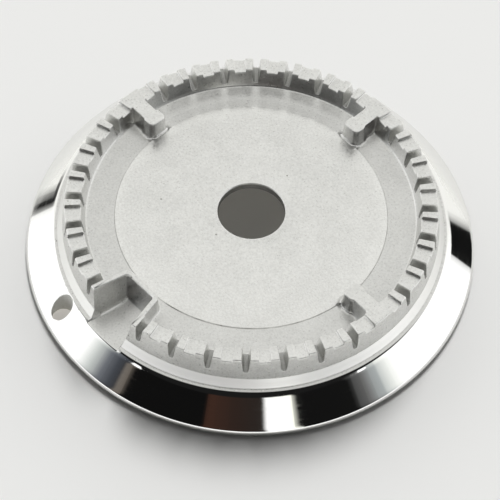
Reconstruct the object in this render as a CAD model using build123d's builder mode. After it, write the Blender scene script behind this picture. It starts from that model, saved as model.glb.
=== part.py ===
from build123d import *
import os
from math import cos, radians, sin, tan

os.makedirs("parts", exist_ok=True)

# Skirt, ledge and the steep band under the crown, in millimetres, from the rim inwards
rim_dia = 128.0
lip_height = 1.7
lip_round = 2.4
skirt_run = 8.4
skirt_drop = 7.7
edge_round = 1.8
ledge_flat = 0.9
band_run = 1.6
band_rise = 2.6
wall = 2.4

# Crown: its walls lean towards each other from the foot to the lands
crown_height = 7.5
crown_width = 4.4
outer_lean = 0.95
inner_lean = 1.1
dish_depth = 5.9
dish_fillet = 0.8

# Dish, and the raised disc in it with the gas bore
dish_width = 8.2
disc_step = 0.6
disc_bevel = 0.9
disc_slope = 15.45
disc_rise = 1.1
bore_dia = 18.9

# Collar under the disc that centres the head on its base
collar_inset = 4.95
collar_wall = 2.5
collar_height = 7.9
collar_chamfer = 0.8

# Port slots between the diagonals, and the shallow groove on top of each tooth
slots_per_quarter = 7
slot_sill = 1.0
slot_foot = 1.3
slot_draft = 5.5
groove_depth = 1.0
groove_foot = 2.4
groove_draft = 24.0

# Lugs that centre the cap, on three of the diagonals
lug_angles = (45.0, 135.0, 315.0)
lug_length = 9.15
lug_width = 4.4
lug_head_width = 5.4
lug_head_length = 4.2
lug_corner = 1.3
lug_draft = 4.0

# Igniter pocket on the fourth diagonal, open to the outside: its walls lean in towards the floor,
# the sides more so at the mouth
pocket_angle = 225.0
pocket_depth = 10.65
pocket_back_width = 10.4
pocket_flare = 13.8
pocket_lean = 0.9
pocket_floor_width = 9.2
pocket_floor_flare = 7.0
pocket_drop = 0.4
pocket_wall = 1.5
pocket_corner = 0.8

# Hole for the flame sensor, in the skirt just outside the ledge and to one side of the pocket,
# with a guide tube below it
sensor_dia = 6.2
sensor_gap = 0.1
sensor_turn = 15.7
guide_wall = 1.8
guide_foot = 0.8

rim_r = rim_dia / 2
ledge_r = rim_r - skirt_run
foot_r = ledge_r - ledge_flat - band_run
land_out_r = foot_r - outer_lean
land_in_r = land_out_r - crown_width
dish_r = land_in_r - inner_lean
disc_r = dish_r - dish_width
disc_flat_r = disc_r - disc_slope
bore_r = bore_dia / 2
collar_r = disc_r - collar_inset
lug_tip_r = land_in_r - lug_length
pocket_back_r = land_out_r - pocket_depth
sensor_r = ledge_r + sensor_gap + sensor_dia / 2
sensor_angle = pocket_angle - sensor_turn

ledge_z = lip_height + skirt_drop
foot_z = ledge_z + band_rise
land_z = foot_z + crown_height
dish_z = land_z - dish_depth
disc_z = dish_z + disc_step
crest_z = disc_z + disc_rise
collar_z = crest_z - wall - collar_height
slot_floor_z = dish_z + slot_sill
pocket_floor_z = ledge_z - pocket_drop
pitch = 90.0 / (slots_per_quarter + 1)

# Radius, height and size of the rounds above and below the skirt's cone
skirt_rounds = ((ledge_r, ledge_z, edge_round), (rim_r, lip_height, lip_round))

# Underside: the skirt keeps its wall, and the floor follows the dish and the disc
skirt_length = (skirt_run ** 2 + skirt_drop ** 2) ** 0.5
under_rim_r = rim_r - wall * skirt_length / skirt_drop + lip_height * skirt_run / skirt_drop
under_dish_z = dish_z - wall
under_skirt_r = foot_r - ledge_flat / 2
under_skirt_z = (under_rim_r - under_skirt_r) * skirt_drop / skirt_run
under_ring_r = land_out_r - wall / 2

with BuildPart() as burner_head:
    with BuildSketch(Plane.XZ) as section:
        with BuildLine():
            Polyline(
                (under_rim_r, 0),
                (rim_r, 0),
                (rim_r, lip_height),
                (ledge_r, ledge_z),
                (ledge_r - ledge_flat, ledge_z),
                (foot_r, foot_z),
                (land_out_r, land_z),
                (land_in_r, land_z),
                (dish_r, dish_z),
                (disc_r + disc_bevel / 2, dish_z),
                (disc_r - disc_bevel / 2, disc_z),
                (disc_flat_r, crest_z),
                (bore_r, crest_z),
                (bore_r, crest_z - wall),
                (disc_flat_r, crest_z - wall),
                (disc_r, under_dish_z),
                (under_ring_r, under_dish_z),
                (under_skirt_r, under_skirt_z),
                close=True,
            )
        make_face()
        for r, z, size in skirt_rounds + ((dish_r, dish_z, dish_fillet),):
            fillet(section.vertices().sort_by_distance((r, z))[0], radius=size)
    revolve(axis=Axis.Z)

    with BuildSketch(Plane.XY.offset(crest_z - wall)):
        Circle(collar_r)
        Circle(collar_r - collar_wall, mode=Mode.SUBTRACT)
    extrude(amount=collar_z - (crest_z - wall))
    collar_end = burner_head.edges().filter_by_position(Axis.Z, collar_z - 0.01, collar_z + 0.01)
    chamfer(collar_end.sort_by(SortBy.RADIUS)[-1], length=collar_chamfer)

    # Each lug runs in from the crown at the height of the teeth and ends in a rounded head
    with BuildPart(mode=Mode.PRIVATE) as lug:
        with BuildSketch(Plane.XY.offset(land_z)):
            with Locations((lug_tip_r, 0)):
                RectangleRounded(
                    lug_head_length, lug_head_width, lug_corner, align=(Align.MIN, Align.CENTER)
                )
            with Locations((lug_tip_r + lug_corner, 0)):
                Rectangle(
                    land_in_r + wall - lug_tip_r - lug_corner, lug_width, align=(Align.MIN, Align.CENTER)
                )
        extrude(amount=dish_z - wall / 2 - land_z, taper=-lug_draft)
    with Locations(*[Location((0, 0, 0), (0, 0, a)) for a in lug_angles]):
        add(lug.part)

    # The pocket's walls stand in the dish and carry on below it to the pocket's floor
    flare = tan(radians(pocket_flare))
    block_back = pocket_back_r - pocket_wall
    block_half = pocket_back_width / 2 + pocket_wall * (1 / cos(radians(pocket_flare)) - flare)
    block_end = land_in_r + wall / 2
    sill_end = ledge_r * cos(radians(pocket_flare))
    with BuildPart(mode=Mode.PRIVATE) as pocket_block:
        with BuildSketch():
            with BuildLine():
                Polyline(
                    (block_back, -block_half),
                    (block_end, -block_half - (block_end - block_back) * flare),
                    (block_end, block_half + (block_end - block_back) * flare),
                    (block_back, block_half),
                    close=True,
                )
            block_face = make_face()
            fillet(block_face.vertices().group_by(Axis.X)[0], radius=pocket_corner + pocket_wall)
        extrude(amount=land_z)
        with BuildSketch():
            with BuildLine():
                Polyline(
                    (block_back, -block_half),
                    (sill_end, -block_half - (sill_end - block_back) * flare),
                    (sill_end, block_half + (sill_end - block_back) * flare),
                    (block_back, block_half),
                    close=True,
                )
            make_face()
        extrude(amount=pocket_floor_z)
        with BuildSketch():
            Rectangle(2 * rim_dia, 2 * rim_dia)
        extrude(amount=pocket_floor_z - wall, mode=Mode.SUBTRACT)
    with Locations(Location((0, 0, 0), (0, 0, pocket_angle))):
        add(pocket_block.part)

    floor_flare = tan(radians(pocket_floor_flare))
    floor_back_r = pocket_back_r + pocket_lean
    with BuildPart(mode=Mode.PRIVATE) as pocket_cut:
        with BuildSketch(Plane.XY.offset(land_z)):
            with BuildLine():
                Polyline(
                    (pocket_back_r, -pocket_back_width / 2),
                    (rim_dia, -pocket_back_width / 2 - (rim_dia - pocket_back_r) * flare),
                    (rim_dia, pocket_back_width / 2 + (rim_dia - pocket_back_r) * flare),
                    (pocket_back_r, pocket_back_width / 2),
                    close=True,
                )
            pocket_face = make_face()
            fillet(pocket_face.vertices().group_by(Axis.X)[0], radius=pocket_corner)
        with BuildSketch(Plane.XY.offset(pocket_floor_z)):
            with BuildLine():
                Polyline(
                    (floor_back_r, -pocket_floor_width / 2),
                    (rim_dia, -pocket_floor_width / 2 - (rim_dia - floor_back_r) * floor_flare),
                    (rim_dia, pocket_floor_width / 2 + (rim_dia - floor_back_r) * floor_flare),
                    (floor_back_r, pocket_floor_width / 2),
                    close=True,
                )
            floor_face = make_face()
            fillet(floor_face.vertices().group_by(Axis.X)[0], radius=pocket_corner)
        loft(ruled=True)
    with Locations(Location((0, 0, 0), (0, 0, pocket_angle))):
        add(pocket_cut.part, mode=Mode.SUBTRACT)

    # Port slots stand at equal steps from one diagonal to the next
    diagonals = lug_angles + (pocket_angle,)
    slot_angles = [d + (i + 1) * pitch for d in diagonals for i in range(slots_per_quarter)]
    with BuildPart(mode=Mode.PRIVATE) as slot_cut:
        with BuildSketch(Plane.YZ.offset(dish_r - dish_fillet)):
            with Locations((0, slot_floor_z)):
                Trapezoid(
                    slot_foot, land_z - slot_floor_z, 90 + slot_draft, align=(Align.CENTER, Align.MIN)
                )
        extrude(amount=foot_r - dish_r + 2 * dish_fillet)
    with Locations(*[Location((0, 0, 0), (0, 0, a)) for a in slot_angles]):
        add(slot_cut.part, mode=Mode.SUBTRACT)

    # One shallow groove runs across the middle of every tooth, and the pocket takes the place of two
    tooth_angles = [d + (i + 0.5) * pitch for d in diagonals for i in range(slots_per_quarter + 1)]
    tooth_angles = [a for a in tooth_angles if cos(radians(a - pocket_angle)) < cos(radians(pitch))]
    with BuildPart(mode=Mode.PRIVATE) as groove_cut:
        with BuildSketch(Plane.YZ.offset(land_in_r - wall)):
            with Locations((0, land_z - groove_depth)):
                Trapezoid(
                    groove_foot, groove_depth, 90 + groove_draft, align=(Align.CENTER, Align.MIN)
                )
        extrude(amount=land_out_r - land_in_r + 2 * wall)
    with Locations(*[Location((0, 0, 0), (0, 0, a)) for a in tooth_angles]):
        add(groove_cut.part, mode=Mode.SUBTRACT)

    # The guide tube fills the space under the skirt and follows the skirt's outer face on top
    sensor_x = sensor_r * cos(radians(sensor_angle))
    sensor_y = sensor_r * sin(radians(sensor_angle))
    with BuildPart(mode=Mode.PRIVATE) as guide:
        with Locations((sensor_x, sensor_y, guide_foot)):
            Cylinder(
                sensor_dia / 2 + guide_wall, ledge_z, align=(Align.CENTER, Align.CENTER, Align.MIN)
            )
        with BuildSketch(Plane.XZ) as outside:
            with BuildLine():
                Polyline(
                    (0, 0), (rim_r, 0), (rim_r, lip_height), (ledge_r, ledge_z), (0, ledge_z), close=True
                )
            make_face()
            for r, z, size in skirt_rounds:
                fillet(outside.vertices().sort_by_distance((r, z))[0], radius=size)
        revolve(axis=Axis.Z, mode=Mode.INTERSECT)
    add(guide.part)
    with Locations((sensor_x, sensor_y, 0)):
        Cylinder(
            sensor_dia / 2, ledge_z, align=(Align.CENTER, Align.CENTER, Align.MIN), mode=Mode.SUBTRACT
        )

burner_head.part.label = "burner_head"
export_step(burner_head.part, "parts/burner_head.step")
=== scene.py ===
"""Looks of a die-cast gas burner head, in metres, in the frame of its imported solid."""
import logging
import math
from dataclasses import dataclass, field
from enum import IntEnum
from typing import Any

import bpy
import numpy as np
from mathutils import Matrix, Vector


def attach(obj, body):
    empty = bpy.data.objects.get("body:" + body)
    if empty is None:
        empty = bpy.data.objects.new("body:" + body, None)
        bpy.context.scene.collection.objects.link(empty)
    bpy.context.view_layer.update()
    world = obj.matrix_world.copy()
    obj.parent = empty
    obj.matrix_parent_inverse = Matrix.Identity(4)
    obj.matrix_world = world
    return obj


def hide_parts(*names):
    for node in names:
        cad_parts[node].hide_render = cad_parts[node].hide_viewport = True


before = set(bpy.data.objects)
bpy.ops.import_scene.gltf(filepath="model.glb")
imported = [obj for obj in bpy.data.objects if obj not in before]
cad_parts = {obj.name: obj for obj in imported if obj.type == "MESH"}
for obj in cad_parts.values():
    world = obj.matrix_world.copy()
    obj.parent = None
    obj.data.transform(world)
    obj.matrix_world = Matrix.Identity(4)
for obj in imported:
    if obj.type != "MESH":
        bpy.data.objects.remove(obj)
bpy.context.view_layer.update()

MM = 0.001
# Range that holds nearly all values of a noise
NOISE_SPAN = (0.25, 0.75)
log = logging.getLogger("burner_head")

Tree = bpy.types.NodeTree
Socket = bpy.types.NodeSocket


class Zone(IntEnum):
    """How a face was made. The value is the piece's material slot.

    BLASTED is the shot-blasted casting, TURNED a fine lathe cut, MIRROR the polished skirt, SKIN the
    casting as it left the mould, painted paler so that the guide tube in the sensor hole reads lighter,
    and PORT the walls of the gas bore and floors of the ports, rougher and painted darker as shade.
    """

    BLASTED = 0
    TURNED = 1
    MIRROR = 2
    SKIN = 3
    PORT = 4


class Kind(IntEnum):
    """What a column of the grid crosses on the crown. A cheek is the land between slot and pocket."""

    SLOT = 0
    GROOVE = 1
    LUG = 2
    CHEEK = 3
    POCKET = 4


class Beside(IntEnum):
    """What a tooth or slot stands next to and makes room for."""

    NOTHING = 0
    LUG = 1
    POCKET = 2


def linear(code: str) -> tuple[float, float, float, float]:
    """Turns an sRGB hex colour into linear RGBA.

    Args:
        code: colour such as "#C8C8C4".

    Returns:
        Linear red, green, blue and an alpha of 1.
    """
    parts = np.array([int(code[k:k + 2], 16) for k in (1, 3, 5)]) / 255.0
    lin = np.where(parts <= 0.04045, parts / 12.92, ((parts + 0.055) / 1.055) ** 2.4)
    return (float(lin[0]), float(lin[1]), float(lin[2]), 1.0)


def node(
    tree: Tree, kind: str, inputs: dict | None = None, stops: list | None = None, **settings: Any
) -> bpy.types.Node:
    """Adds one shader node with its settings and links.

    Args:
        tree: node tree that gets the node.
        kind: Blender's type name of the node.
        inputs: socket name or number, with a value to set or a socket to link from.
        stops: places from 0 to 1 in rising order with their linear colours, for a colour ramp.
        settings: attributes of the node.

    Returns:
        The new node.
    """
    made = tree.nodes.new(kind)
    for name, value in settings.items():
        setattr(made, name, value)
    for key, value in (inputs or {}).items():
        if isinstance(value, bpy.types.NodeSocket):
            tree.links.new(value, made.inputs[key])
        else:
            made.inputs[key].default_value = value
    for place, colour in stops or []:
        elements = made.color_ramp.elements
        stop = elements.new(place) if 0.0 < place < 1.0 else elements[0 if place <= 0.0 else -1]
        stop.color = colour
    return made


def blank(name: str) -> tuple[bpy.types.Material, Tree]:
    """Makes a material with no nodes yet.

    Args:
        name: real material and process.

    Returns:
        The material and its node tree.
    """
    made = bpy.data.materials.new(name)
    made.use_nodes = True
    made.node_tree.nodes.clear()
    return made, made.node_tree


def arc(centre: tuple[float, float], radius: float, start: float, end: float, count: int) -> np.ndarray:
    """Points on a circular arc: centre plus radius times the unit vector of each angle.

    Args:
        centre: centre of the arc.
        radius: its radius.
        start: first angle in degrees.
        end: last angle in degrees.
        count: number of points, both ends included.

    Returns:
        Array of count points.
    """
    turn = np.radians(np.linspace(start, end, count))
    return np.stack([centre[0] + radius * np.cos(turn), centre[1] + radius * np.sin(turn)], -1)


def mirrored(half: np.ndarray) -> np.ndarray:
    """Closes a half path, whose last point is on the axis, with its mirror image across that axis."""
    return np.concatenate([half, half[-2::-1] * (1.0, -1.0)])


def turned(points: np.ndarray, axis: np.ndarray | float) -> np.ndarray:
    """Turns local points into plan points: a rotation by the angle of their axis.

    Args:
        points: radial and tangential place of each point.
        axis: angle of each point's axis in radians, or one angle for all.

    Returns:
        One plan point for each local point.
    """
    cos, sin = np.cos(axis), np.sin(axis)
    along, across = points[..., 0], points[..., 1]
    return np.stack([along * cos - across * sin, along * sin + across * cos], -1)


def polar(angle: np.ndarray, r: np.ndarray | float) -> np.ndarray:
    """Plan points at radius r and the given angles in radians."""
    return np.stack([np.cos(angle), np.sin(angle)], -1) * np.broadcast_to(r, angle.shape)[:, None]


def smooth(x: np.ndarray) -> np.ndarray:
    """Eases from 0 to 1 as x goes from 0 to 1, with level ends."""
    t = np.clip(x, 0.0, 1.0)
    return t * t * (3.0 - 2.0 * t)


@dataclass(frozen=True)
class Skirt:
    """Mirror-turned cone with a rounded lip, and the level ledge inside it. Sizes in millimetres."""

    rim_r: float = 64.0
    rim_break: float = 0.2
    lip_z: float = 1.7
    lip_round: float = 2.4
    lip_count: int = 10
    edge_r: float = 55.6
    edge_z: float = 9.4
    edge_round: float = 1.8
    ledge_flat: float = 0.9
    wall: float = 2.4
    # Height of the roll that polishing leaves on the cone, and where it begins, is highest and ends
    roll: float = 0.1
    roll_span: tuple[float, float, float] = (56.0, 56.8, 62.7)
    # Radius from which the edge is polished, and the rings of the grid over the edge, down the cone
    # and up its inner face
    polish_r: float = 55.4
    edge_rings: tuple[float, ...] = (55.2, 55.5, 55.77)
    cone_rings: tuple[float, ...] = (56.2, 56.5, 56.8, 57.1, 58.4, 60.0, 61.4, 62.7)
    under_rings: tuple[float, ...] = (61.6, 60.9, 60.2, 59.4, 58.2, 57.4, 56.6, 55.8, 54.6, 53.4)

    @property
    def slope(self) -> float:
        """Drop of the cone for each millimetre outwards."""
        return (self.edge_z - self.lip_z) / (self.rim_r - self.edge_r)

    @property
    def under_r(self) -> float:
        """Radius where the inner face of the skirt reaches the ground."""
        return self.rim_r - self.wall * math.hypot(1.0, self.slope) / self.slope + self.lip_z / self.slope

    @property
    def edge_reach(self) -> float:
        """How far the rounding of the cone's upper edge runs along the ledge and down the cone."""
        return self.edge_round * math.tan(math.atan(self.slope) / 2.0)

    @property
    def ledge_r(self) -> float:
        """Radius where the ledge begins."""
        return self.edge_r - self.ledge_flat

    def edge_at(self, z: float) -> float:
        """Radius at which the rounded edge passes height z."""
        rest = self.edge_round - self.edge_z + z
        return self.edge_r - self.edge_reach + math.sqrt(self.edge_round ** 2 - rest ** 2)

    def top(self, r: np.ndarray) -> np.ndarray:
        """Height of the ledge and the cone at radius r: level, round over the edge, then falling evenly.

        Polishing has rolled the top of the cone, so that it falls a little less just below the edge.

        Args:
            r: radius of each point.

        Returns:
            Height of each point.
        """
        begin = self.edge_r - self.edge_reach
        end = self.edge_r + self.edge_reach * math.cos(math.atan(self.slope))
        along = np.clip(r - begin, 0.0, end - begin)
        bend = self.edge_round - np.sqrt(self.edge_round ** 2 - along ** 2)
        fall = np.where(r < end, bend, self.slope * (r - self.edge_r))
        return self.edge_z - fall + np.interp(r, self.roll_span, (0.0, self.roll, 0.0))

    def lip(self) -> np.ndarray:
        """Works out the lip's section: an arc from the cone to the upright foot of the rim.

        Returns:
            Radius and height of each point.
        """
        tilt = math.atan(self.slope)
        low = self.lip_z - self.lip_round * math.tan((math.pi / 2.0 - tilt) / 2.0)
        centre = (self.rim_r - self.lip_round, low)
        return arc(centre, self.lip_round, 90.0 - math.degrees(tilt), 0.0, self.lip_count)

    def under(self, r: np.ndarray) -> np.ndarray:
        """Height of the skirt's inner face at radius r: a cone parallel to the outer one."""
        return (self.under_r - r) * self.slope


@dataclass(frozen=True)
class Disc:
    """Raised disc in the dish with the gas bore, and the collar under it. Sizes in millimetres."""

    edge_r: float = 38.45
    edge_z: float = 14.2
    flat_r: float = 23.0
    crest_z: float = 15.3
    dome_power: float = 0.8
    bore_r: float = 9.45
    bore_round: float = 0.35
    bore_break: float = 0.2
    dish_z: float = 13.6
    wall: float = 2.4
    collar_r: float = 33.5
    collar_wall: float = 2.5
    collar_z: float = 5.0
    collar_chamfer: float = 0.8
    collar_break: float = 0.15
    collar_foot: float = 0.5
    # Rings of the grid on the dome and inside the collar, and painted light on the bore's brim and the
    # dome
    dome_rings: tuple[float, ...] = (13.0, 18.0, 23.0, 26.0, 29.0, 32.0, 35.0)
    under_rings: tuple[float, ...] = (27.0, 23.0, 16.0)
    bore_painted_sheen: float = 0.5
    dome_painted_light: float = 0.6
    # Inset from the edge, drop below it and painted highlight of each ring over the step, and the room
    # that the step keeps before a wall
    step_rings: tuple[tuple[float, float, float], ...] = (
        (0.6, 0.0, 0.8), (0.18, 0.1, 0.8), (-0.04, 0.38, 0.0), (-1.5, 0.6, 0.0),
    )
    step_room: float = 0.3
    # Shares of the way over the dish from the step to the walls, and back below it to the disc
    dish_shares: tuple[float, ...] = (0.3, 0.62)
    under_shares: tuple[float, ...] = (0.35, 0.7, 1.0)

    def reach(self, r: np.ndarray) -> np.ndarray:
        """Share of the slope from the disc's edge to its level middle that is climbed at radius r."""
        return np.clip((self.edge_r - r) / (self.edge_r - self.flat_r), 0.0, 1.0)

    def floor(self, r: np.ndarray) -> np.ndarray:
        """Height of the dish and the disc at radius r: level dish, small step, then a flat dome.

        Args:
            r: radius of each point.

        Returns:
            Height of each point.
        """
        reach = self.reach(r)
        rise = (self.crest_z - self.edge_z) * (2.0 * reach - reach * reach) ** self.dome_power
        return np.where(r > self.edge_r, self.dish_z, self.edge_z + rise)

    def under(self, r: np.ndarray | float) -> np.ndarray:
        """Height of the underside at radius r: the disc's own rise, one wall lower."""
        return self.dish_z - self.wall + (self.crest_z - self.dish_z) * self.reach(np.asarray(r))

    def collar(self) -> list[tuple[float, Any]]:
        """Works out the section below the disc: down the collar, across its foot, up and in to the bore.

        Returns:
            Radius and height of each ring.
        """
        outer, inner = self.collar_r, self.collar_r - self.collar_wall
        foot, low = self.collar_foot, self.collar_z
        down = [
            (outer + foot, self.under(outer + foot)),
            (outer, self.under(outer) - foot),
            (outer, low + self.collar_chamfer),
            (outer - self.collar_chamfer, low),
        ]
        up = [
            (inner + self.collar_break, low),
            (inner, low + self.collar_break),
            (inner, self.under(inner) - foot),
            (inner - foot, self.under(inner - foot)),
        ]
        inwards = [(r, self.under(r)) for r in (*self.under_rings, self.bore_r + self.bore_break)]
        return down + up + inwards


@dataclass(frozen=True)
class Crown:
    """Ring of teeth with port slots between them and a groove on each. Sizes in millimetres."""

    foot_r: float = 53.1
    foot_z: float = 12.0
    out_r: float = 52.15
    in_r: float = 47.75
    land_z: float = 19.5
    out_lean: float = 0.1267
    in_lean: float = 0.1864
    fillet: float = 0.8
    edge_round: float = 0.3
    slots_per_quarter: int = 7
    slot_floor: float = 14.6
    slot_half: float = 0.65
    slot_lean: float = 0.0963
    slot_reach: float = 1.42
    groove_half: float = 1.57
    groove_depth: float = 1.0
    groove_lean: float = 0.07
    groove_reach: float = 1.95
    # Rounded sections: offset from the brim and drop below the land, then offset from the foot and
    # height above the floor
    slot_brim: tuple[tuple[float, float], ...] = ((0.14, 0.03), (0.02, 0.16), (-0.07, 0.85))
    slot_foot: tuple[tuple[float, float], ...] = ((0.22, 2.0), (0.06, 0.45), (-0.09, 0.12), (-0.32, 0.0))
    groove_brim: tuple[tuple[float, float], ...] = ((0.08, 0.02), (-0.01, 0.1))
    groove_foot: tuple[tuple[float, float], ...] = ((0.0, 0.12), (-0.12, 0.01))
    # Edges are finest on the sill of a slot, and reach their full rounding over this height
    sill_round: float = 0.12
    sill_z: float = 16.0
    sill_rise: float = 3.5
    brink_rise: float = 0.5
    port_depth: float = 0.3
    # Room that a tooth keeps beside a lug, or a slot beside the pocket
    neighbour_room: float = 0.05
    # Offset and drop of the two rings that ease the outer wall's foot into the band
    foot_ease: tuple[tuple[float, float], ...] = ((-0.08, 0.08), (0.05, 0.1))
    # How far handling has polished a wall's brim, the edge of a land and the land itself, and the
    # place on a wall's section where its brim becomes the edge of a land
    brim_rub: float = 0.2
    edge_rub: float = 0.4
    land_rub: float = 0.5
    edge_share: float = 2.5
    # Places of the rings up the inner wall, over the lands and down the outer wall
    wall_shares: tuple[float, ...] = (0.0, 0.35, 0.7, 1.0, 1.35, 1.68, 1.88, 2.0, 2.34, 2.67, 3.0)
    land_shares: tuple[float, float] = (0.35, 0.7)
    outer_shares: tuple[float, ...] = (0.08, 0.3, 0.6, 0.95, 1.0)

    @property
    def pitch(self) -> float:
        """Angle from one slot to the next, in degrees."""
        return 90.0 / (self.slots_per_quarter + 1)

    def slot_profile(self) -> np.ndarray:
        """Offset and height across a slot, from one land to the other."""
        sizes = (self.slot_floor, self.slot_half, self.slot_lean, self.slot_reach)
        return self.profile(*sizes, self.slot_brim, self.slot_foot)

    def groove_profile(self) -> np.ndarray:
        """Offset and height across the groove of a tooth, from one land to the other."""
        sizes = (self.land_z - self.groove_depth, self.groove_half, self.groove_lean, self.groove_reach)
        return self.profile(*sizes, self.groove_brim, self.groove_foot)

    def profile(
        self, floor: float, half: float, lean: float, reach: float, brim: tuple, foot: tuple
    ) -> np.ndarray:
        """Section of a cut into the lands: level floor, leaning sides and rounded brim on both sides.

        Args:
            floor: height of the floor.
            half: half the width at the floor.
            lean: how far a side leans out for each millimetre of height.
            reach: offset of the last point on the land.
            brim: offset from the brim and drop below the land of each point there.
            foot: offset from the foot and height above the floor of each point there.

        Returns:
            Points from one land to the other.
        """
        brim_half = half + (self.land_z - floor) * lean
        upper = [(brim_half + out, self.land_z - drop) for out, drop in brim]
        lower = [(half + out, floor + rise) for out, rise in foot]
        side = np.array([(reach, self.land_z), *upper, *lower, (0.0, floor)])
        return np.concatenate([side * (-1.0, 1.0), side[-2::-1]])


@dataclass(frozen=True)
class Lug:
    """Lug that centres the cap: a neck out of the crown and a rounded head. Sizes in millimetres."""

    tip_r: float = 38.6
    half: float = 2.2
    head_half: float = 2.7
    head_length: float = 4.2
    corner: float = 1.3
    lean: float = 0.07
    fillet: float = 0.7
    inner_corner: float = 0.5
    least_corner: float = 0.25
    # A tip this near to the disc's edge stands on the disc, and its foot this far above the edge
    disc_reach: float = 0.1
    disc_lift: float = 0.02
    # The spine in the lug's top: its distance from the tip, its lead and half its width
    spine_inset: float = 1.3
    spine_lead: float = 0.3
    spine_half: float = 2.05
    spine_share: float = 0.6
    # Degrees that the lug's columns take: beside it on the crown, beside it on the disc, half of its
    # back on the outer wall, and by step from its axis on the disc
    beside: tuple[float, float] = (3.2, 10.2)
    back_half: float = 3.05
    fan_steps: tuple[float, ...] = (0, 1, 6, 10, 12)
    fan_angles: tuple[float, ...] = (0.0, 3.6, 7.2, 8.2, 9.0, 9.9)

    def root_corner(self, grow: float) -> float:
        """Radius of the inner corner between ring and neck, when the outline is offset by grow."""
        return max(self.inner_corner - grow, self.least_corner)

    def start(self, grow: float, ring_r: float) -> float:
        """Lateral place where the lug's inner corner leaves the ring of radius ring_r."""
        corner = self.root_corner(grow)
        return (self.half + grow + corner) * ring_r / (ring_r - corner)

    def outline(self, grow: float, ring_r: float) -> np.ndarray:
        """Plan outline of the lug, offset outwards by grow, between two points of the ring.

        The outline is an inner corner arc on the ring, the straight neck, the swelling into the
        head, the rounded tip, and the mirror image of these.

        Args:
            grow: offset of the whole outline, negative inwards.
            ring_r: radius of the crown's inner wall at this height.

        Returns:
            Local points, radial and tangential.
        """
        corner = self.root_corner(grow)
        neck, head = self.half + grow, self.head_half + grow
        bend = self.corner + grow
        tip = self.tip_r - grow
        far = self.tip_r + self.head_length + grow
        root = (math.sqrt((ring_r - corner) ** 2 - (neck + corner) ** 2), -(neck + corner))
        inner = arc(root, corner, math.degrees(math.atan2(root[1], root[0])), 90.0, 5)
        swell = (far - bend, -(head - bend))
        touch = math.degrees(math.asin((neck - head + bend) / bend))
        joint = arc(swell, bend, -touch, -90.0, 4)
        stem = np.linspace(inner[-1], joint[0], 4)[1:3]
        nose = arc((tip + bend, -(head - bend)), bend, -90.0, -180.0, 5)
        return mirrored(np.concatenate([inner, stem, joint, nose, [(tip, 0.0)]]))

    def spine(self, outline: np.ndarray) -> np.ndarray:
        """Points inside the lug's top that lead from its outline to the crown without crossing.

        Args:
            outline: outline of the lug's top.

        Returns:
            One local point for each point of the outline.
        """
        share = np.linspace(-1.0, 1.0, len(outline))
        along = np.maximum(outline[:, 0], self.tip_r + self.spine_inset) + self.spine_lead
        return np.stack([along, self.spine_half * share], -1)


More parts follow.
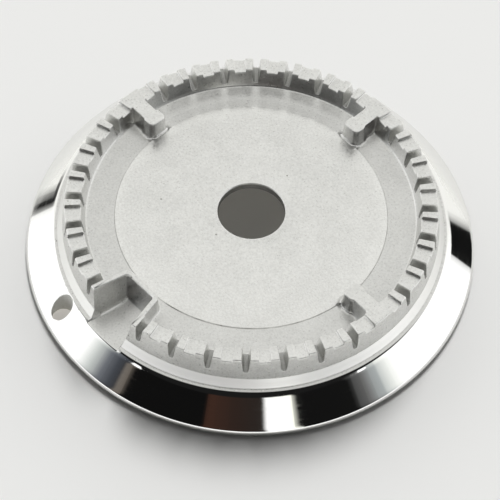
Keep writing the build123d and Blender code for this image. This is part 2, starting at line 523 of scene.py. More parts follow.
@dataclass(frozen=True)
class Pocket:
    """Igniter pocket: thin flared walls in the dish, open through the crown. Sizes in millimetres.

    The walls seen from the dish are called its block.
    """

    angle: float = 225.0
    back_r: float = 41.5
    back_half: float = 5.2
    flare: float = 0.2456
    floor_back: float = 0.9
    floor_narrow: float = 0.6
    floor_flare: float = 0.123
    floor_z: float = 9.0
    corner: float = 0.8
    wall: float = 1.5
    block_lean: float = 0.05
    block_fillet: float = 0.7
    block_corner: float = 2.3
    block_half: float = 6.376
    block_reach: float = 7.9
    block_end: float = 47.2
    under_r: float = 51.5
    # Foot of the inner walls: its width, where it begins above the floor, and the share of the width
    # and the height above the floor of each ring down to it
    foot: float = 0.6
    foot_top: float = 1.1
    foot_rings: tuple[tuple[float, float], ...] = ((0.0, 1.0), (0.0, 0.6), (0.3, 0.18), (1.0, 0.0))
    # Room between the mouth's edge and the first point inside, and the mouth's distance along the
    # pocket for each millimetre of radius
    mouth_room: float = 0.35
    mouth_share: float = 0.99
    # Sill: its rounding, the shares of the floor on the way out to it, and by step from the pocket's
    # axis the share of the mouth
    sill_round: float = 0.04
    sill_shares: tuple[float, ...] = (0.35, 0.7, 0.94, 0.97, 1.0)
    sill_spread: tuple[float, ...] = (0.0, 0.5, 0.66, 0.975)
    # Columns on each cheek, and the degrees that the pocket's columns take as on a lug
    cheek: int = 3
    beside: tuple[float, float] = (9.4, 13.4)
    fan_steps: tuple[float, ...] = (0, 3, 6)
    fan_angles: tuple[float, ...] = (0.0, 8.0, 11.2, 13.1)

    @property
    def block_line(self) -> tuple[np.ndarray, np.ndarray, np.ndarray]:
        """Point, direction and outward normal of the block's side on the negative side.

        Returns:
            Three local vectors, radial and tangential.
        """
        back = np.array([self.back_r - self.wall, -self.block_half])
        run = np.array([self.block_end, -self.block_reach]) - back
        run = run / np.linalg.norm(run)
        return back, run, np.array([run[1], -run[0]])

    def start(self, grow: float, ring_r: float) -> float:
        """Lateral place where the block's side leaves the ring of radius ring_r."""
        return -self.block_outline(grow, ring_r)[0, 1]

    @staticmethod
    def rounded_side(
        base: np.ndarray, run: np.ndarray, back_r: float, bend: float, ring_r: float
    ) -> tuple[float, np.ndarray, np.ndarray]:
        """Half an outline: how far a straight side runs to the ring, and its rounded corner and back.

        The corner is an arc that touches the side and the back, and the back is a straight line to
        the axis.

        Args:
            base: local point on the side.
            run: direction of the side.
            back_r: radial place of the back.
            bend: radius of the corner.
            ring_r: radius at which the side ends.

        Returns:
            Length of the side from its point to the ring, points of the corner, points of the back.
        """
        out = np.array([run[1], -run[0]])
        reach = -base @ run + math.sqrt((base @ run) ** 2 - base @ base + ring_r ** 2)
        near = back_r + bend
        lateral = base[1] + (-bend - (near - base[0]) * out[0]) / out[1]
        bow = arc((near, lateral), bend, math.degrees(math.atan2(out[1], out[0])), -180.0, 4)
        rear = np.linspace(bow[-1], (bow[-1][0], 0.0), 4)[1:]
        return reach, bow, rear

    def block_outline(self, grow: float, ring_r: float) -> np.ndarray:
        """Plan outline of the walls as seen from the dish, offset outwards by grow.

        The outline is the straight flared side from the ring, the rounded corner, half the back,
        and the mirror image of these.

        Args:
            grow: offset of the whole outline.
            ring_r: radius at which the sides end.

        Returns:
            Local points, radial and tangential.
        """
        back, run, out = self.block_line
        base = back + grow * out
        back_r = self.back_r - self.wall - grow
        reach, bow, rear = self.rounded_side(base, run, back_r, self.block_corner + grow, ring_r)
        side = np.linspace(base + reach * run, bow[0], 10)[:-1]
        return mirrored(np.concatenate([side, bow, rear]))

    def half_width(self, along: np.ndarray, depth: np.ndarray) -> np.ndarray:
        """Half the pocket's width: it opens evenly outwards, and less so lower down.

        Args:
            along: distance from the head's axis.
            depth: share of the way from the lands to the floor.

        Returns:
            Half width at that place.
        """
        flare = self.flare + (self.floor_flare - self.flare) * depth
        back = self.back_r + self.floor_back * depth
        return self.back_half - self.floor_narrow * depth + (along - back) * flare

    def outline(self, depth: float, widen: float, ring_r: float) -> np.ndarray:
        """Plan outline of the pocket at a depth, from one side of the mouth to the other.

        Args:
            depth: share of the way from the lands to the floor.
            widen: offset of the whole outline, positive into the walls.
            ring_r: radius at which the sides begin.

        Returns:
            Local points, radial and tangential.
        """
        flare = self.flare + (self.floor_flare - self.flare) * depth
        run = np.array([1.0, -flare]) / math.hypot(1.0, flare)
        back_r = self.back_r + self.floor_back * depth
        base = np.array([back_r, -(self.back_half - self.floor_narrow * depth)])
        base = base + widen * np.array([run[1], -run[0]])
        reach, bow, rear = self.rounded_side(base, run, back_r - widen, self.corner + widen, ring_r)
        side = np.linspace(base + reach * run, bow[0], 8)[1:-1]
        side[0] = base + (reach - self.mouth_room) * run
        return mirrored(np.concatenate([side, bow, rear]))


@dataclass(frozen=True)
class SensorHole:
    """Upright round hole through the skirt, with a guide tube below. Sizes in millimetres."""

    r: float = 58.8
    angle: float = 209.3
    radius: float = 3.1
    edge_round: float = 0.18
    guide: float = 4.9
    guide_z: float = 0.8
    guide_limit: float = 62.12
    guide_break: float = 0.1
    margin: float = 0.35
    # Shares of the way from the border of the hole's window to its edge, above and below, and the
    # offset and depth of the rounded edge's rings as shares of its radius
    top_shares: tuple[float, ...] = (0.4, 0.75, 0.93, 1.0)
    under_shares: tuple[float, ...] = (0.5, 1.0)
    edge_rings: tuple[tuple[float, float], ...] = ((0.3, 0.3), (0.0, 1.0))

    @property
    def centre(self) -> np.ndarray:
        """Plan place of the hole's axis."""
        turn = math.radians(self.angle)
        return self.r * np.array([math.cos(turn), math.sin(turn)])


@dataclass(frozen=True)
class WallSection:
    """Section of a wall in the dish. Offsets count from its plane at the lands. Sizes in millimetres."""

    lean: float
    fillet: float
    land_z: float

    def point(
        self, share: float, low: np.ndarray | float, high: np.ndarray | float, edge: np.ndarray | float
    ) -> tuple[Any, Any]:
        """Point on the section: shares 0 to 1 are the fillet, 1 to 2 the wall and 2 to 3 the brim.

        The fillet is an arc that touches the floor and the wall, the wall leans evenly, and the
        brim is a quarter circle.

        Args:
            share: place on the section.
            low: height of the floor.
            high: height of the top.
            edge: radius of the brim.

        Returns:
            Offset into the dish, and height.
        """
        m, c = self.lean, self.fillet
        if share <= 1.0:
            turn = math.radians(-90.0 + (90.0 - math.degrees(math.atan(m))) * share)
            mid = low + c
            out = (self.land_z - mid) * m + c * math.hypot(1.0, m) - c * math.cos(turn)
            return out, mid + c * math.sin(turn)
        if share <= 2.0:
            foot = low + c - c * math.sin(math.atan(m))
            z = foot + (high - edge - foot) * (share - 1.0)
            return (self.land_z - z) * m, z
        lift = math.radians(90.0 * (share - 2.0))
        out = (self.land_z - high + edge) * m - edge * (1.0 - math.cos(lift))
        return out, high - edge + edge * math.sin(lift)


@dataclass
class WallRow:
    """One row up the inner walls: offsets of ring, lugs and block, height of each column, and polish.

    The ring's offset is given for each column, and once more at a column of full height.
    """

    ring: np.ndarray
    full: float
    lug: float
    block: float
    z: np.ndarray
    wear_and_sheen: float


@dataclass
class Group:
    """Columns of one tooth, slot, lug or pocket: they share the angle of its axis, in degrees."""

    axis: float
    off: np.ndarray
    top: np.ndarray
    kind: np.ndarray
    lean: np.ndarray
    beside: Beside = Beside.NOTHING


@dataclass
class Columns:
    """Columns of the grid in order round the head. Each array holds one value for each column.

    A column has the angle of its axis, its offset from that axis, the height of the crown's top, its
    kind, its step within its group, what it stands beside, its share in making room for that, and its
    angle on the disc.
    """

    axis: np.ndarray
    off: np.ndarray
    top: np.ndarray
    kind: np.ndarray
    step: np.ndarray
    beside: np.ndarray
    lean: np.ndarray
    hub: np.ndarray

    @property
    def deep(self) -> np.ndarray:
        """Which columns cross the block of the pocket."""
        return np.isin(self.kind, (Kind.POCKET, Kind.CHEEK))

    def ring(self, r: np.ndarray, shift: np.ndarray) -> np.ndarray:
        """Plan points of the ring columns: along each axis, at their offset, on the circle of radius r.

        Args:
            r: radius of each column.
            shift: how far columns beside a lug or the pocket make room for it.

        Returns:
            One plan point for each column.
        """
        off = self.off - self.lean * shift
        along = np.sqrt(np.maximum(r * r - off * off, 0.0))
        return turned(np.stack([along, off], -1), self.axis)

    def fan(self, which: np.ndarray, steps: tuple[float, ...], angles: tuple[float, ...]) -> np.ndarray:
        """Angles on the disc of the columns of a lug or the pocket, by their step from its axis.

        Args:
            which: columns of that kind.
            steps: steps from the axis, without the last one.
            angles: degrees off the axis at those steps and at the last one.

        Returns:
            Angle of each column in degrees, true for those columns alone.
        """
        half = np.max(self.step[which]) / 2.0
        away = self.step - half
        return np.degrees(self.axis) + np.sign(away) * np.interp(np.abs(away), (*steps, half), angles)


@dataclass(frozen=True)
class BlastedCasting:
    """Die-cast aluminium, shot-blasted: an even, pale grey bloom with a fine grain and faint clouds.

    The skin as it left the mould is the same metal, duller and rougher, and painted paler so that the
    guide tube in the sensor hole reads lighter.
    """

    name: str = "aluminium_die_cast_shot_blasted"
    pale: str = "#E4E4E2"
    dull: str = "#D0D0CE"
    pit: str = "#84847F"
    wear_and_sheen_gain: float = 1.22
    roughness: float = 0.31
    rough_spread: tuple[float, float] = (-0.06, 0.08)
    grain_mm: float = 0.6
    grain_depth_mm: float = 0.09
    grain_strength: float = 0.5
    cloud_mm: float = 9.0
    cloud_weight: float = 0.4
    shade_span: tuple[float, float] = (0.5, 0.9)
    pit_mm: float = 3.2
    pit_share: float = 0.06
    pit_edge: tuple[float, float] = (0.1, 0.05)

    def material(self) -> bpy.types.Material:
        """Builds the material.

        Returns:
            A metal whose colour drifts in clouds, with a fine grain in bump and roughness.
        """
        made, tree = blank(self.name)
        place = node(tree, "ShaderNodeTexCoord").outputs["Object"]
        # The shot leaves dents of about 0.2 mm. They are drawn at 0.6 mm so that they show, and give
        # the eye a satin that sparkles a little.
        grain = node(tree, "ShaderNodeTexNoise", {
            "Vector": place, "Scale": 1.0 / (self.grain_mm * MM), "Detail": 3.0, "Roughness": 0.6})
        wear_and_sheen = node(tree, "ShaderNodeAttribute", attribute_name="wear_and_sheen")
        # Edges and lands that hands and caps wear down are a little brighter than the bloom. The same
        # brightening paints light on the disc, and a painted highlight on the bore's brim and the step's
        # edge.
        shine = node(tree, "ShaderNodeMapRange", {
            "Value": wear_and_sheen.outputs["Fac"], "To Min": 1.0, "To Max": self.wear_and_sheen_gain})
        bare = node(tree, "ShaderNodeHueSaturation", {
            "Color": self.bloom(tree, place, grain), "Value": shine.outputs["Result"]})
        less, more = self.rough_spread
        rough = node(tree, "ShaderNodeMapRange", {
            "Value": grain.outputs["Fac"], "From Min": NOISE_SPAN[0], "From Max": NOISE_SPAN[1],
            "To Min": self.roughness + less, "To Max": self.roughness + more})
        bump = node(tree, "ShaderNodeBump", {
            "Height": grain.outputs["Fac"], "Strength": self.grain_strength,
            "Distance": self.grain_depth_mm * MM})
        shader = node(tree, "ShaderNodeBsdfPrincipled", {
            "Base Color": bare.outputs["Color"], "Metallic": 1.0,
            "Roughness": rough.outputs["Result"], "Normal": bump.outputs["Normal"]})
        node(tree, "ShaderNodeOutputMaterial", {"Surface": shader.outputs["BSDF"]})
        return made

    def bloom(self, tree: Tree, place: Socket, grain: bpy.types.Node) -> Socket:
        """Colours the casting: clouds and grain between dull and pale, with a few dark pores.

        Args:
            tree: node tree of the material.
            place: socket with the place on the piece.
            grain: noise of the blasted grain.

        Returns:
            Socket with the colour.
        """
        cloud = node(tree, "ShaderNodeTexNoise", {
            "Vector": place, "Scale": 1.0 / (self.cloud_mm * MM), "Detail": 4.0, "Roughness": 0.55})
        both = node(tree, "ShaderNodeMath", {
            0: cloud.outputs["Fac"], 1: self.cloud_weight, 2: grain.outputs["Fac"]},
            operation="MULTIPLY_ADD")
        shade = node(tree, "ShaderNodeMapRange", {
            "Value": both.outputs["Value"], "From Min": self.shade_span[0],
            "From Max": self.shade_span[1]})
        even = node(tree, "ShaderNodeMix", {
            "Factor": shade.outputs["Result"], "A": linear(self.dull), "B": linear(self.pale)},
            data_type="RGBA")
        # Gas pores: a few cells in a hundred hold one dark dot of about a quarter of a millimetre.
        cell = node(tree, "ShaderNodeTexVoronoi", {"Vector": place, "Scale": 1.0 / (self.pit_mm * MM)})
        dot = node(tree, "ShaderNodeMapRange", {
            "Value": cell.outputs["Distance"], "From Min": self.pit_edge[0], "From Max": self.pit_edge[1]})
        pick = node(tree, "ShaderNodeSeparateColor", {"Color": cell.outputs["Color"]})
        rare = node(tree, "ShaderNodeMath", {
            0: pick.outputs["Red"], 1: self.pit_share}, operation="LESS_THAN")
        pore = node(tree, "ShaderNodeMath", {
            0: dot.outputs["Result"], 1: rare.outputs["Value"]}, operation="MULTIPLY")
        skin = node(tree, "ShaderNodeMix", {
            "Factor": pore.outputs["Value"], "A": even.outputs["Result"], "B": linear(self.pit)},
            data_type="RGBA")
        return skin.outputs["Result"]


@dataclass(frozen=True)
class TurnedFace:
    """Aluminium turned on a lathe: fine rings round the axis, bright and smoother than the casting.

    A polished cut is the same face with a low roughness and rings that barely show.
    """

    name: str = "aluminium_fine_turned"
    colour: str = "#E8E8E6"
    roughness: float = 0.34
    least_roughness: float = 0.01
    ring_mm: float = 0.3
    depth_mm: float = 0.004
    strength: float = 0.3
    spread: float = 0.06

    def material(self) -> bpy.types.Material:
        """Builds the material.

        Returns:
            A metal with rings by distance from the axis in bump and roughness.
        """
        made, tree = blank(self.name)
        place = node(tree, "ShaderNodeTexCoord").outputs["Object"]
        flat = node(tree, "ShaderNodeVectorMath", {0: place, 1: (1.0, 1.0, 0.0)}, operation="MULTIPLY")
        far = node(tree, "ShaderNodeVectorMath", {0: flat.outputs["Vector"]}, operation="LENGTH")
        # Feed marks of a lathe are about 0.1 mm apart. They are drawn wider so that they show, and
        # draw the light out across the rings.
        feed = node(tree, "ShaderNodeMath", {
            0: far.outputs["Value"], 1: 1.0 / (self.ring_mm * MM)}, operation="MULTIPLY")
        line = node(tree, "ShaderNodeTexNoise", {
            "W": feed.outputs["Value"], "Scale": 1.0, "Detail": 2.0}, noise_dimensions="1D")
        rough = node(tree, "ShaderNodeMapRange", {
            "Value": line.outputs["Fac"], "From Min": NOISE_SPAN[0], "From Max": NOISE_SPAN[1],
            "To Min": max(self.roughness - self.spread, self.least_roughness),
            "To Max": self.roughness + self.spread})
        bump = node(tree, "ShaderNodeBump", {
            "Height": line.outputs["Fac"], "Strength": self.strength, "Distance": self.depth_mm * MM})
        shader = node(tree, "ShaderNodeBsdfPrincipled", {
            "Base Color": linear(self.colour), "Metallic": 1.0,
            "Roughness": rough.outputs["Result"], "Normal": bump.outputs["Normal"]})
        node(tree, "ShaderNodeOutputMaterial", {"Surface": shader.outputs["BSDF"]})
        return made


@dataclass
class Window:
    """First and last row of the patch that the sensor hole takes the place of, above and below."""

    top: int = 0
    top_end: int = 0
    under: int = 0
    under_end: int = 0


@dataclass
class BurnerHead:
    """The whole casting as one closed sheet: rows run from the gas bore over the top and back below."""

    skirt: Skirt = field(default_factory=Skirt)
    disc: Disc = field(default_factory=Disc)
    crown: Crown = field(default_factory=Crown)
    lug: Lug = field(default_factory=Lug)
    pocket: Pocket = field(default_factory=Pocket)
    sensor: SensorHole = field(default_factory=SensorHole)
    first_diagonal: float = 45.0
    crease: float = 36.0
    quarter_circle: tuple[float, ...] = (0.0, 30.0, 60.0, 90.0)
    rows: list[np.ndarray] = field(default_factory=list)
    zones: list[np.ndarray] = field(default_factory=list)
    wear_and_sheen_rows: list[float] = field(default_factory=list)
    window: Window = field(default_factory=Window)

    def columns(self) -> Columns:
        """Lays out the columns: each quarter has its lug or the pocket, then teeth and slots in turn.

        Returns:
            The columns in order round the head.
        """
        groups = []
        for quarter in range(4):
            start = self.first_diagonal + 90.0 * quarter
            groups.append(self.diagonal_group(start))
            groups.extend(self.tooth_groups(start))
        axis = np.concatenate([np.full(len(g.off), math.radians(g.axis)) for g in groups])
        cols = Columns(
            axis=axis,
            off=np.concatenate([g.off for g in groups]),
            top=np.concatenate([g.top for g in groups]),
            kind=np.concatenate([g.kind for g in groups]).astype(int),
            step=np.concatenate([np.arange(len(g.off)) for g in groups]),
            beside=np.concatenate([np.full(len(g.off), g.beside) for g in groups]),
            lean=np.concatenate([g.lean for g in groups]),
            hub=axis,
        )
        cols.hub = self.hub_angles(cols)
        return cols

    def diagonal_group(self, start: float) -> Group:
        """Columns of the lug or the pocket on a diagonal.

        Args:
            start: angle of the diagonal in degrees.

        Returns:
            One column for each point of its outline.
        """
        crown, cheek = self.crown, self.pocket.cheek
        here = start == self.pocket.angle
        outline = self.pocket.block_outline if here else self.lug.outline
        count = len(outline(0.0, crown.in_r))
        kind = np.full(count, Kind.POCKET if here else Kind.LUG)
        if here:
            kind[:cheek] = kind[-cheek:] = Kind.CHEEK
        level = np.zeros(count)
        return Group(axis=start, off=level, top=level + crown.land_z, kind=kind, lean=level)

    def tooth_groups(self, start: float) -> list[Group]:
        """Columns of the teeth and slots of one quarter, but for the teeth that the pocket replaces.

        Args:
            start: angle of the quarter's first diagonal in degrees.

        Returns:
            One group for each tooth and each slot.
        """
        crown = self.crown
        slot, groove = crown.slot_profile(), crown.groove_profile()
        here, there = start == self.pocket.angle, start + 90.0 == self.pocket.angle
        end = 2 * crown.slots_per_quarter
        groups = []
        for turn in range(end + 1):
            tooth = turn % 2 == 0
            if tooth and ((turn == 0 and here) or (turn == end and there)):
                continue
            shape = groove if tooth else slot
            share = (shape[:, 0] - shape[0, 0]) / (2.0 * shape[-1, 0])
            before = turn == end or (there and turn == end - 1)
            after = turn == 0 or (here and turn == 1)
            by_pocket = (here and after) or (there and before)
            neighbour = Beside.POCKET if by_pocket else Beside.LUG
            groups.append(Group(
                axis=start + (turn + 1) * crown.pitch / 2.0,
                off=shape[:, 0],
                top=shape[:, 1],
                kind=np.full(len(shape), Kind.GROOVE if tooth else Kind.SLOT),
                lean=share if before else (share - 1.0 if after else share * 0.0),
                beside=neighbour if before or after else Beside.NOTHING,
            ))
        return groups

    def hub_angles(self, cols: Columns) -> np.ndarray:
        """Angle of each column on the disc: spread out beside lugs and pocket, even between them.

        Args:
            cols: the columns.

        Returns:
            Angles in radians.
        """
        lug, pocket = self.lug, self.pocket
        natural = np.degrees(cols.axis + np.arcsin(cols.off / self.crown.in_r))
        ends = {self.first_diagonal + 90.0 * quarter: lug.beside for quarter in range(4)}
        ends[pocket.angle] = pocket.beside
        knots = sorted((a + s * w[0], a + s * w[1]) for a, w in ends.items() for s in (-1.0, 1.0))
        source, target = np.array(knots).T
        source = np.concatenate([source[-1:] - 360.0, source, source[:1] + 360.0])
        target = np.concatenate([target[-1:] - 360.0, target, target[:1] + 360.0])
        hub = np.interp(natural, source, target)
        on_lug = cols.kind == Kind.LUG
        hub = np.where(on_lug, cols.fan(on_lug, lug.fan_steps, lug.fan_angles), hub)
        hub = np.where(cols.deep, cols.fan(cols.deep, pocket.fan_steps, pocket.fan_angles), hub)
        return np.radians(hub)

    def add(
        self, plan: np.ndarray, z: np.ndarray | float, zone: Zone | np.ndarray, wear_and_sheen: float = 0.0
    ) -> None:
        """Adds one row of points.

        Args:
            plan: plan point of each column.
            z: height of each column, or one height for all.
            zone: finish of the faces between this row and the next, for all columns or each.
            wear_and_sheen: how far this row is brightened, from 0 to 1: by wear on the crown, and by
                painted light on the disc and the bore's brim.
        """
        height = np.broadcast_to(np.asarray(z, float), (len(plan),))
        self.rows.append(np.concatenate([plan, height[:, None]], 1))
        self.zones.append(np.broadcast_to(np.asarray(zone, int), (len(plan),)))
        self.wear_and_sheen_rows.append(wear_and_sheen)

    def brim(self, cols: Columns) -> np.ndarray:
        """Rounding of each column's top edges: full on lands and grooves, finest on a slot's sill.

        Args:
            cols: the columns.

        Returns:
            Radius of each column.
        """
        crown = self.crown
        ease = smooth((cols.top - crown.sill_z) / crown.sill_rise)
        fine = crown.sill_round + (crown.edge_round - crown.sill_round) * ease
        return np.where(cols.kind == Kind.SLOT, fine, crown.edge_round)

    def brink(self, cols: Columns, z: np.ndarray) -> np.ndarray:
        """Rounds the upright edges of the slots.

        A wall face within the edge radius of a slot's side stands back along a quarter circle of
        that radius.

        Args:
            cols: the columns.
            z: height of each column's point.

        Returns:
            How far each point stands back.
        """
        crown = self.crown
        above = np.maximum(z - crown.slot_floor, 0.0)
        gap = np.abs(cols.off) - crown.slot_half - above * crown.slot_lean
        rest = crown.edge_round - np.clip(gap, 0.0, crown.edge_round)
        back = crown.edge_round - np.sqrt(np.maximum(crown.edge_round ** 2 - rest ** 2, 0.0))
        return np.where(cols.kind == Kind.SLOT, back * smooth(above / crown.brink_rise), 0.0)

    def inner_plan(self, cols: Columns, row: WallRow) -> np.ndarray:
        """Plan points of one row on the crown's inner wall, with lugs and pocket walls in it.

        Args:
            cols: the columns.
            row: offsets and heights of the row.

        Returns:
            One plan point for each column.
        """
        crown, lug, pocket = self.crown, self.lug, self.pocket
        ring_r = crown.in_r - row.full
        neighbours = (
            (Beside.LUG, crown.pitch / 2.0, lug.start(row.lug, ring_r), crown.groove_reach),
            (Beside.POCKET, crown.pitch, pocket.start(row.block, ring_r), crown.slot_reach),
        )
        shift = np.zeros(len(cols.off))
        for beside, away, start, reach in neighbours:
            turn = math.radians(away)
            limit = (ring_r * math.sin(turn) - start - crown.neighbour_room) / math.cos(turn)
            shift = np.where(cols.beside == beside, max(reach - limit, 0.0), shift)
        plan = cols.ring(crown.in_r - row.ring + self.brink(cols, row.z), shift)
        on_lug, deep = cols.kind == Kind.LUG, cols.deep
        plan[on_lug] = turned(lug.outline(row.lug, ring_r)[cols.step[on_lug]], cols.axis[on_lug])
        plan[deep] = turned(pocket.block_outline(row.block, ring_r)[cols.step[deep]], cols.axis[deep])
        return plan

    def outer_plan(
        self, cols: Columns, r: np.ndarray, depth: float, widen: float, z: np.ndarray
    ) -> np.ndarray:
        """Plan points of one row on the crown's outer wall, with the pocket's inside in it.

        Args:
            cols: the columns.
            r: radius of each ring column.
            depth: share of the pocket's depth of this row.
            widen: offset of the pocket's outline.
            z: height of each column.

        Returns:
            One plan point for each column.
        """
        crown, pocket = self.crown, self.pocket
        plan = cols.ring(r - self.brink(cols, z), 0.0 * r)
        on_lug = cols.kind == Kind.LUG
        half = np.max(cols.step[on_lug]) / 2.0
        back = cols.axis + math.radians(self.lug.back_half) * (cols.step / half - 1.0)
        plan[on_lug] = polar(back[on_lug], r[on_lug])
        inside = cols.kind == Kind.POCKET
        cut = pocket.outline(depth, widen, crown.out_r)
        plan[inside] = turned(cut[cols.step[inside] - pocket.cheek], cols.axis[inside])
        return self.cheeks(cols, plan, r, z)

    def cheeks(self, cols: Columns, plan: np.ndarray, r: np.ndarray, z: np.ndarray) -> np.ndarray:
        """Places the columns between the last slot and the mouth of the pocket.

        They share out the angle from the slot to the mouth, and the last one runs down the mouth.

        Args:
            cols: the columns.
            plan: plan points of the row, changed in place.
            r: radius of each column.
            z: height of each column.

        Returns:
            The changed plan points.
        """
        crown, pocket = self.crown, self.pocket
        cheek = cols.kind == Kind.CHEEK
        depth = np.clip((crown.land_z - z) / (crown.land_z - pocket.floor_z), 0.0, 1.0)
        side = pocket.half_width(r * pocket.mouth_share, depth)
        along = np.sqrt(np.maximum(r * r - side ** 2, 1.0))
        mouth = np.arctan2(pocket.half_width(along, depth), along)
        slot = math.radians(crown.pitch) - np.arcsin(crown.slot_reach / r)
        last = np.max(cols.step[cheek])
        left = cols.step < pocket.cheek
        count = np.where(left, cols.step + 1, last - cols.step + 1) / pocket.cheek
        turn = (slot + (mouth - slot) * count) * np.where(left, -1.0, 1.0)
        plan[cheek] = polar((cols.axis + turn)[cheek], r[cheek])
        return plan

    def lay_disc(self, cols: Columns, foot: np.ndarray) -> None:
        """Lays the rounded brim of the bore, the flat dome and its small step down into the dish.

        Args:
            cols: the columns.
            foot: radius at which each column leaves the dish for a wall.
        """
        disc = self.disc
        # The bore's brim, the dome and the top of the step are brightened as painted light: a painted
        # highlight on the brim and on the step's edge, and a disc painted lighter than the dish in place
        # of the shade that the crown walls throw on the dish
        for turn in np.radians(self.quarter_circle):
            r = disc.bore_r + disc.bore_round * (1.0 - math.cos(turn))
            z = disc.crest_z - disc.bore_round * (1.0 - math.sin(turn))
            self.add(polar(cols.hub, r), z, Zone.BLASTED, disc.bore_painted_sheen)
        for r in disc.dome_rings:
            self.add(polar(cols.hub, r), disc.floor(np.array(r)), Zone.BLASTED, disc.dome_painted_light)
        for inset, drop, wear_and_sheen in disc.step_rings:
            edge = disc.edge_r - inset
            r = np.minimum(edge, foot - disc.step_room - inset)
            z = np.where(r < edge, disc.floor(r), disc.edge_z - drop)
            self.add(polar(cols.hub, r), z, Zone.BLASTED, wear_and_sheen)

    def dish_floor(self, cols: Columns) -> np.ndarray:
        """Height of the floor at the foot of each column's wall: the dish, or the disc under a lug's tip.

        Args:
            cols: the columns.

        Returns:
            Height of each column.
        """
        crown, lug, disc = self.crown, self.lug, self.disc
        depth = crown.land_z - disc.dish_z
        ring_r = crown.in_r - crown.in_lean * depth - crown.fillet
        tip = np.hypot(*lug.outline(lug.lean * depth + lug.fillet, ring_r).T)
        on_lug = cols.kind == Kind.LUG
        floor = np.full(len(cols.off), disc.dish_z)
        on_disc = tip[cols.step[on_lug]] < disc.edge_r + lug.disc_reach
        floor[on_lug] = np.where(on_disc, disc.edge_z + lug.disc_lift, disc.dish_z)
        return floor

    def wall_rows(self, cols: Columns, floor: np.ndarray) -> list[WallRow]:
        """Works out the rows up the inner walls of ring, lugs and block.

        Args:
            cols: the columns.
            floor: height of the floor under each column.

        Returns:
            The rows from the floor to the brim.
        """
        crown, lug, pocket, dish_z = self.crown, self.lug, self.pocket, self.disc.dish_z
        ring = WallSection(crown.in_lean, crown.fillet, crown.land_z)
        neck = WallSection(lug.lean, lug.fillet, crown.land_z)
        block = WallSection(pocket.block_lean, pocket.block_fillet, crown.land_z)
        brim = self.brim(cols)
        rows = []
        for share in crown.wall_shares:
            offset, z = ring.point(share, floor, cols.top, brim)
            z = np.where(cols.kind == Kind.LUG, neck.point(share, floor, cols.top, brim)[1], z)
            z = np.where(cols.deep, block.point(share, floor, cols.top, brim)[1], z)
            rows.append(WallRow(
                ring=offset,
                full=ring.point(share, dish_z, crown.land_z, crown.edge_round)[0],
                lug=neck.point(share, dish_z, crown.land_z, crown.edge_round)[0],
                block=block.point(share, dish_z, crown.land_z, crown.edge_round)[0],
                z=z,
                wear_and_sheen=self.wall_rub(share),
            ))
        return rows

    def wall_rub(self, share: float) -> float:
        """How far handling has polished a place on a wall's section: only its brim and the edge above."""
        crown = self.crown
        brightening = crown.brim_rub if share < crown.edge_share else crown.edge_rub
        return brightening if share >= 2.0 else 0.0

    def lay_inner_wall(
        self, cols: Columns, floor: np.ndarray, rows: list[WallRow], plans: list[np.ndarray]
    ) -> None:
        """Lays the dish floor and the inner wall up to the brim of the teeth, lugs and pocket walls.

        Args:
            cols: the columns.
            floor: height of the floor under each column.
            rows: rows up the walls.
            plans: plan points of those rows.
        """
        disc = self.disc
        begin = self.rows[-1][:, :2]
        for share in disc.dish_shares:
            plan = begin + (plans[0] - begin) * share
            out = np.hypot(*plan.T) > disc.edge_r
            self.add(plan, np.where(out, np.minimum(disc.dish_z, floor), floor), Zone.BLASTED)
        for plan, row in zip(plans, rows):
            self.add(plan, row.z, Zone.BLASTED, row.wear_and_sheen)
        self.zones[-1] = self.top_zone(cols)

    def top_zone(self, cols: Columns) -> np.ndarray:
        """Finish of each column across the crown's top: blasted, but for the floors of the ports, painted
        darker as shade.
        """
        port = (cols.kind == Kind.SLOT) & (cols.top < self.crown.slot_floor + self.crown.port_depth)
        return np.where(port & np.roll(port, -1), Zone.PORT, Zone.BLASTED)

    def lay_lands(self, cols: Columns) -> None:
        """Lays the tops of the teeth and lugs and the rounded brim of the outer wall.

        Args:
            cols: the columns.
        """
        crown, pocket = self.crown, self.pocket
        brim, top_zone = self.brim(cols), self.top_zone(cols)
        edges = []
        for turn in np.radians(self.quarter_circle[::-1]):
            sink, back = 1.0 - math.sin(turn), 1.0 - math.cos(turn)
            z = cols.top - brim * sink
            r = crown.out_r + (crown.land_z - cols.top + brim) * crown.out_lean - brim * back
            depth = crown.edge_round * sink / (crown.land_z - pocket.floor_z)
            edges.append((self.outer_plan(cols, r, depth, crown.edge_round * back, z), z))
        inner, outer = self.rows[-1][:, :2], edges[0][0]
        on_lug = cols.kind == Kind.LUG
        spine = self.lug.spine(self.lug.outline(-crown.edge_round, crown.in_r + crown.edge_round))
        way = turned(spine[cols.step[on_lug]], cols.axis[on_lug])
        for share, along in zip(crown.land_shares, (0.0, self.lug.spine_share)):
            plan = inner + (outer - inner) * share
            plan[on_lug] = way + (outer[on_lug] - way) * along
            self.add(plan, cols.top, top_zone, crown.land_rub)
        for plan, z in edges[:2]:
            self.add(plan, z, top_zone, crown.edge_rub)
        for plan, z in edges[2:]:
            self.add(plan, z, Zone.BLASTED, crown.brim_rub)

    def lay_outer_wall(self, cols: Columns) -> None:
        """Lays the outer wall down to the band, and the pocket's inside down to its foot.

        Args:
            cols: the columns.
        """
        crown, pocket = self.crown, self.pocket
        start = cols.top - self.brim(cols)
        fall = crown.land_z - pocket.floor_z
        for share in crown.outer_shares:
            low = crown.land_z - crown.edge_round - (fall - crown.edge_round - pocket.foot_top) * share
            z = np.where(cols.kind == Kind.POCKET, low, start + (crown.foot_z - start) * share)
            r = crown.out_r + (crown.land_z - z) * crown.out_lean
            self.add(self.outer_plan(cols, r, (crown.land_z - low) / fall, 0.0, z), z, Zone.BLASTED)

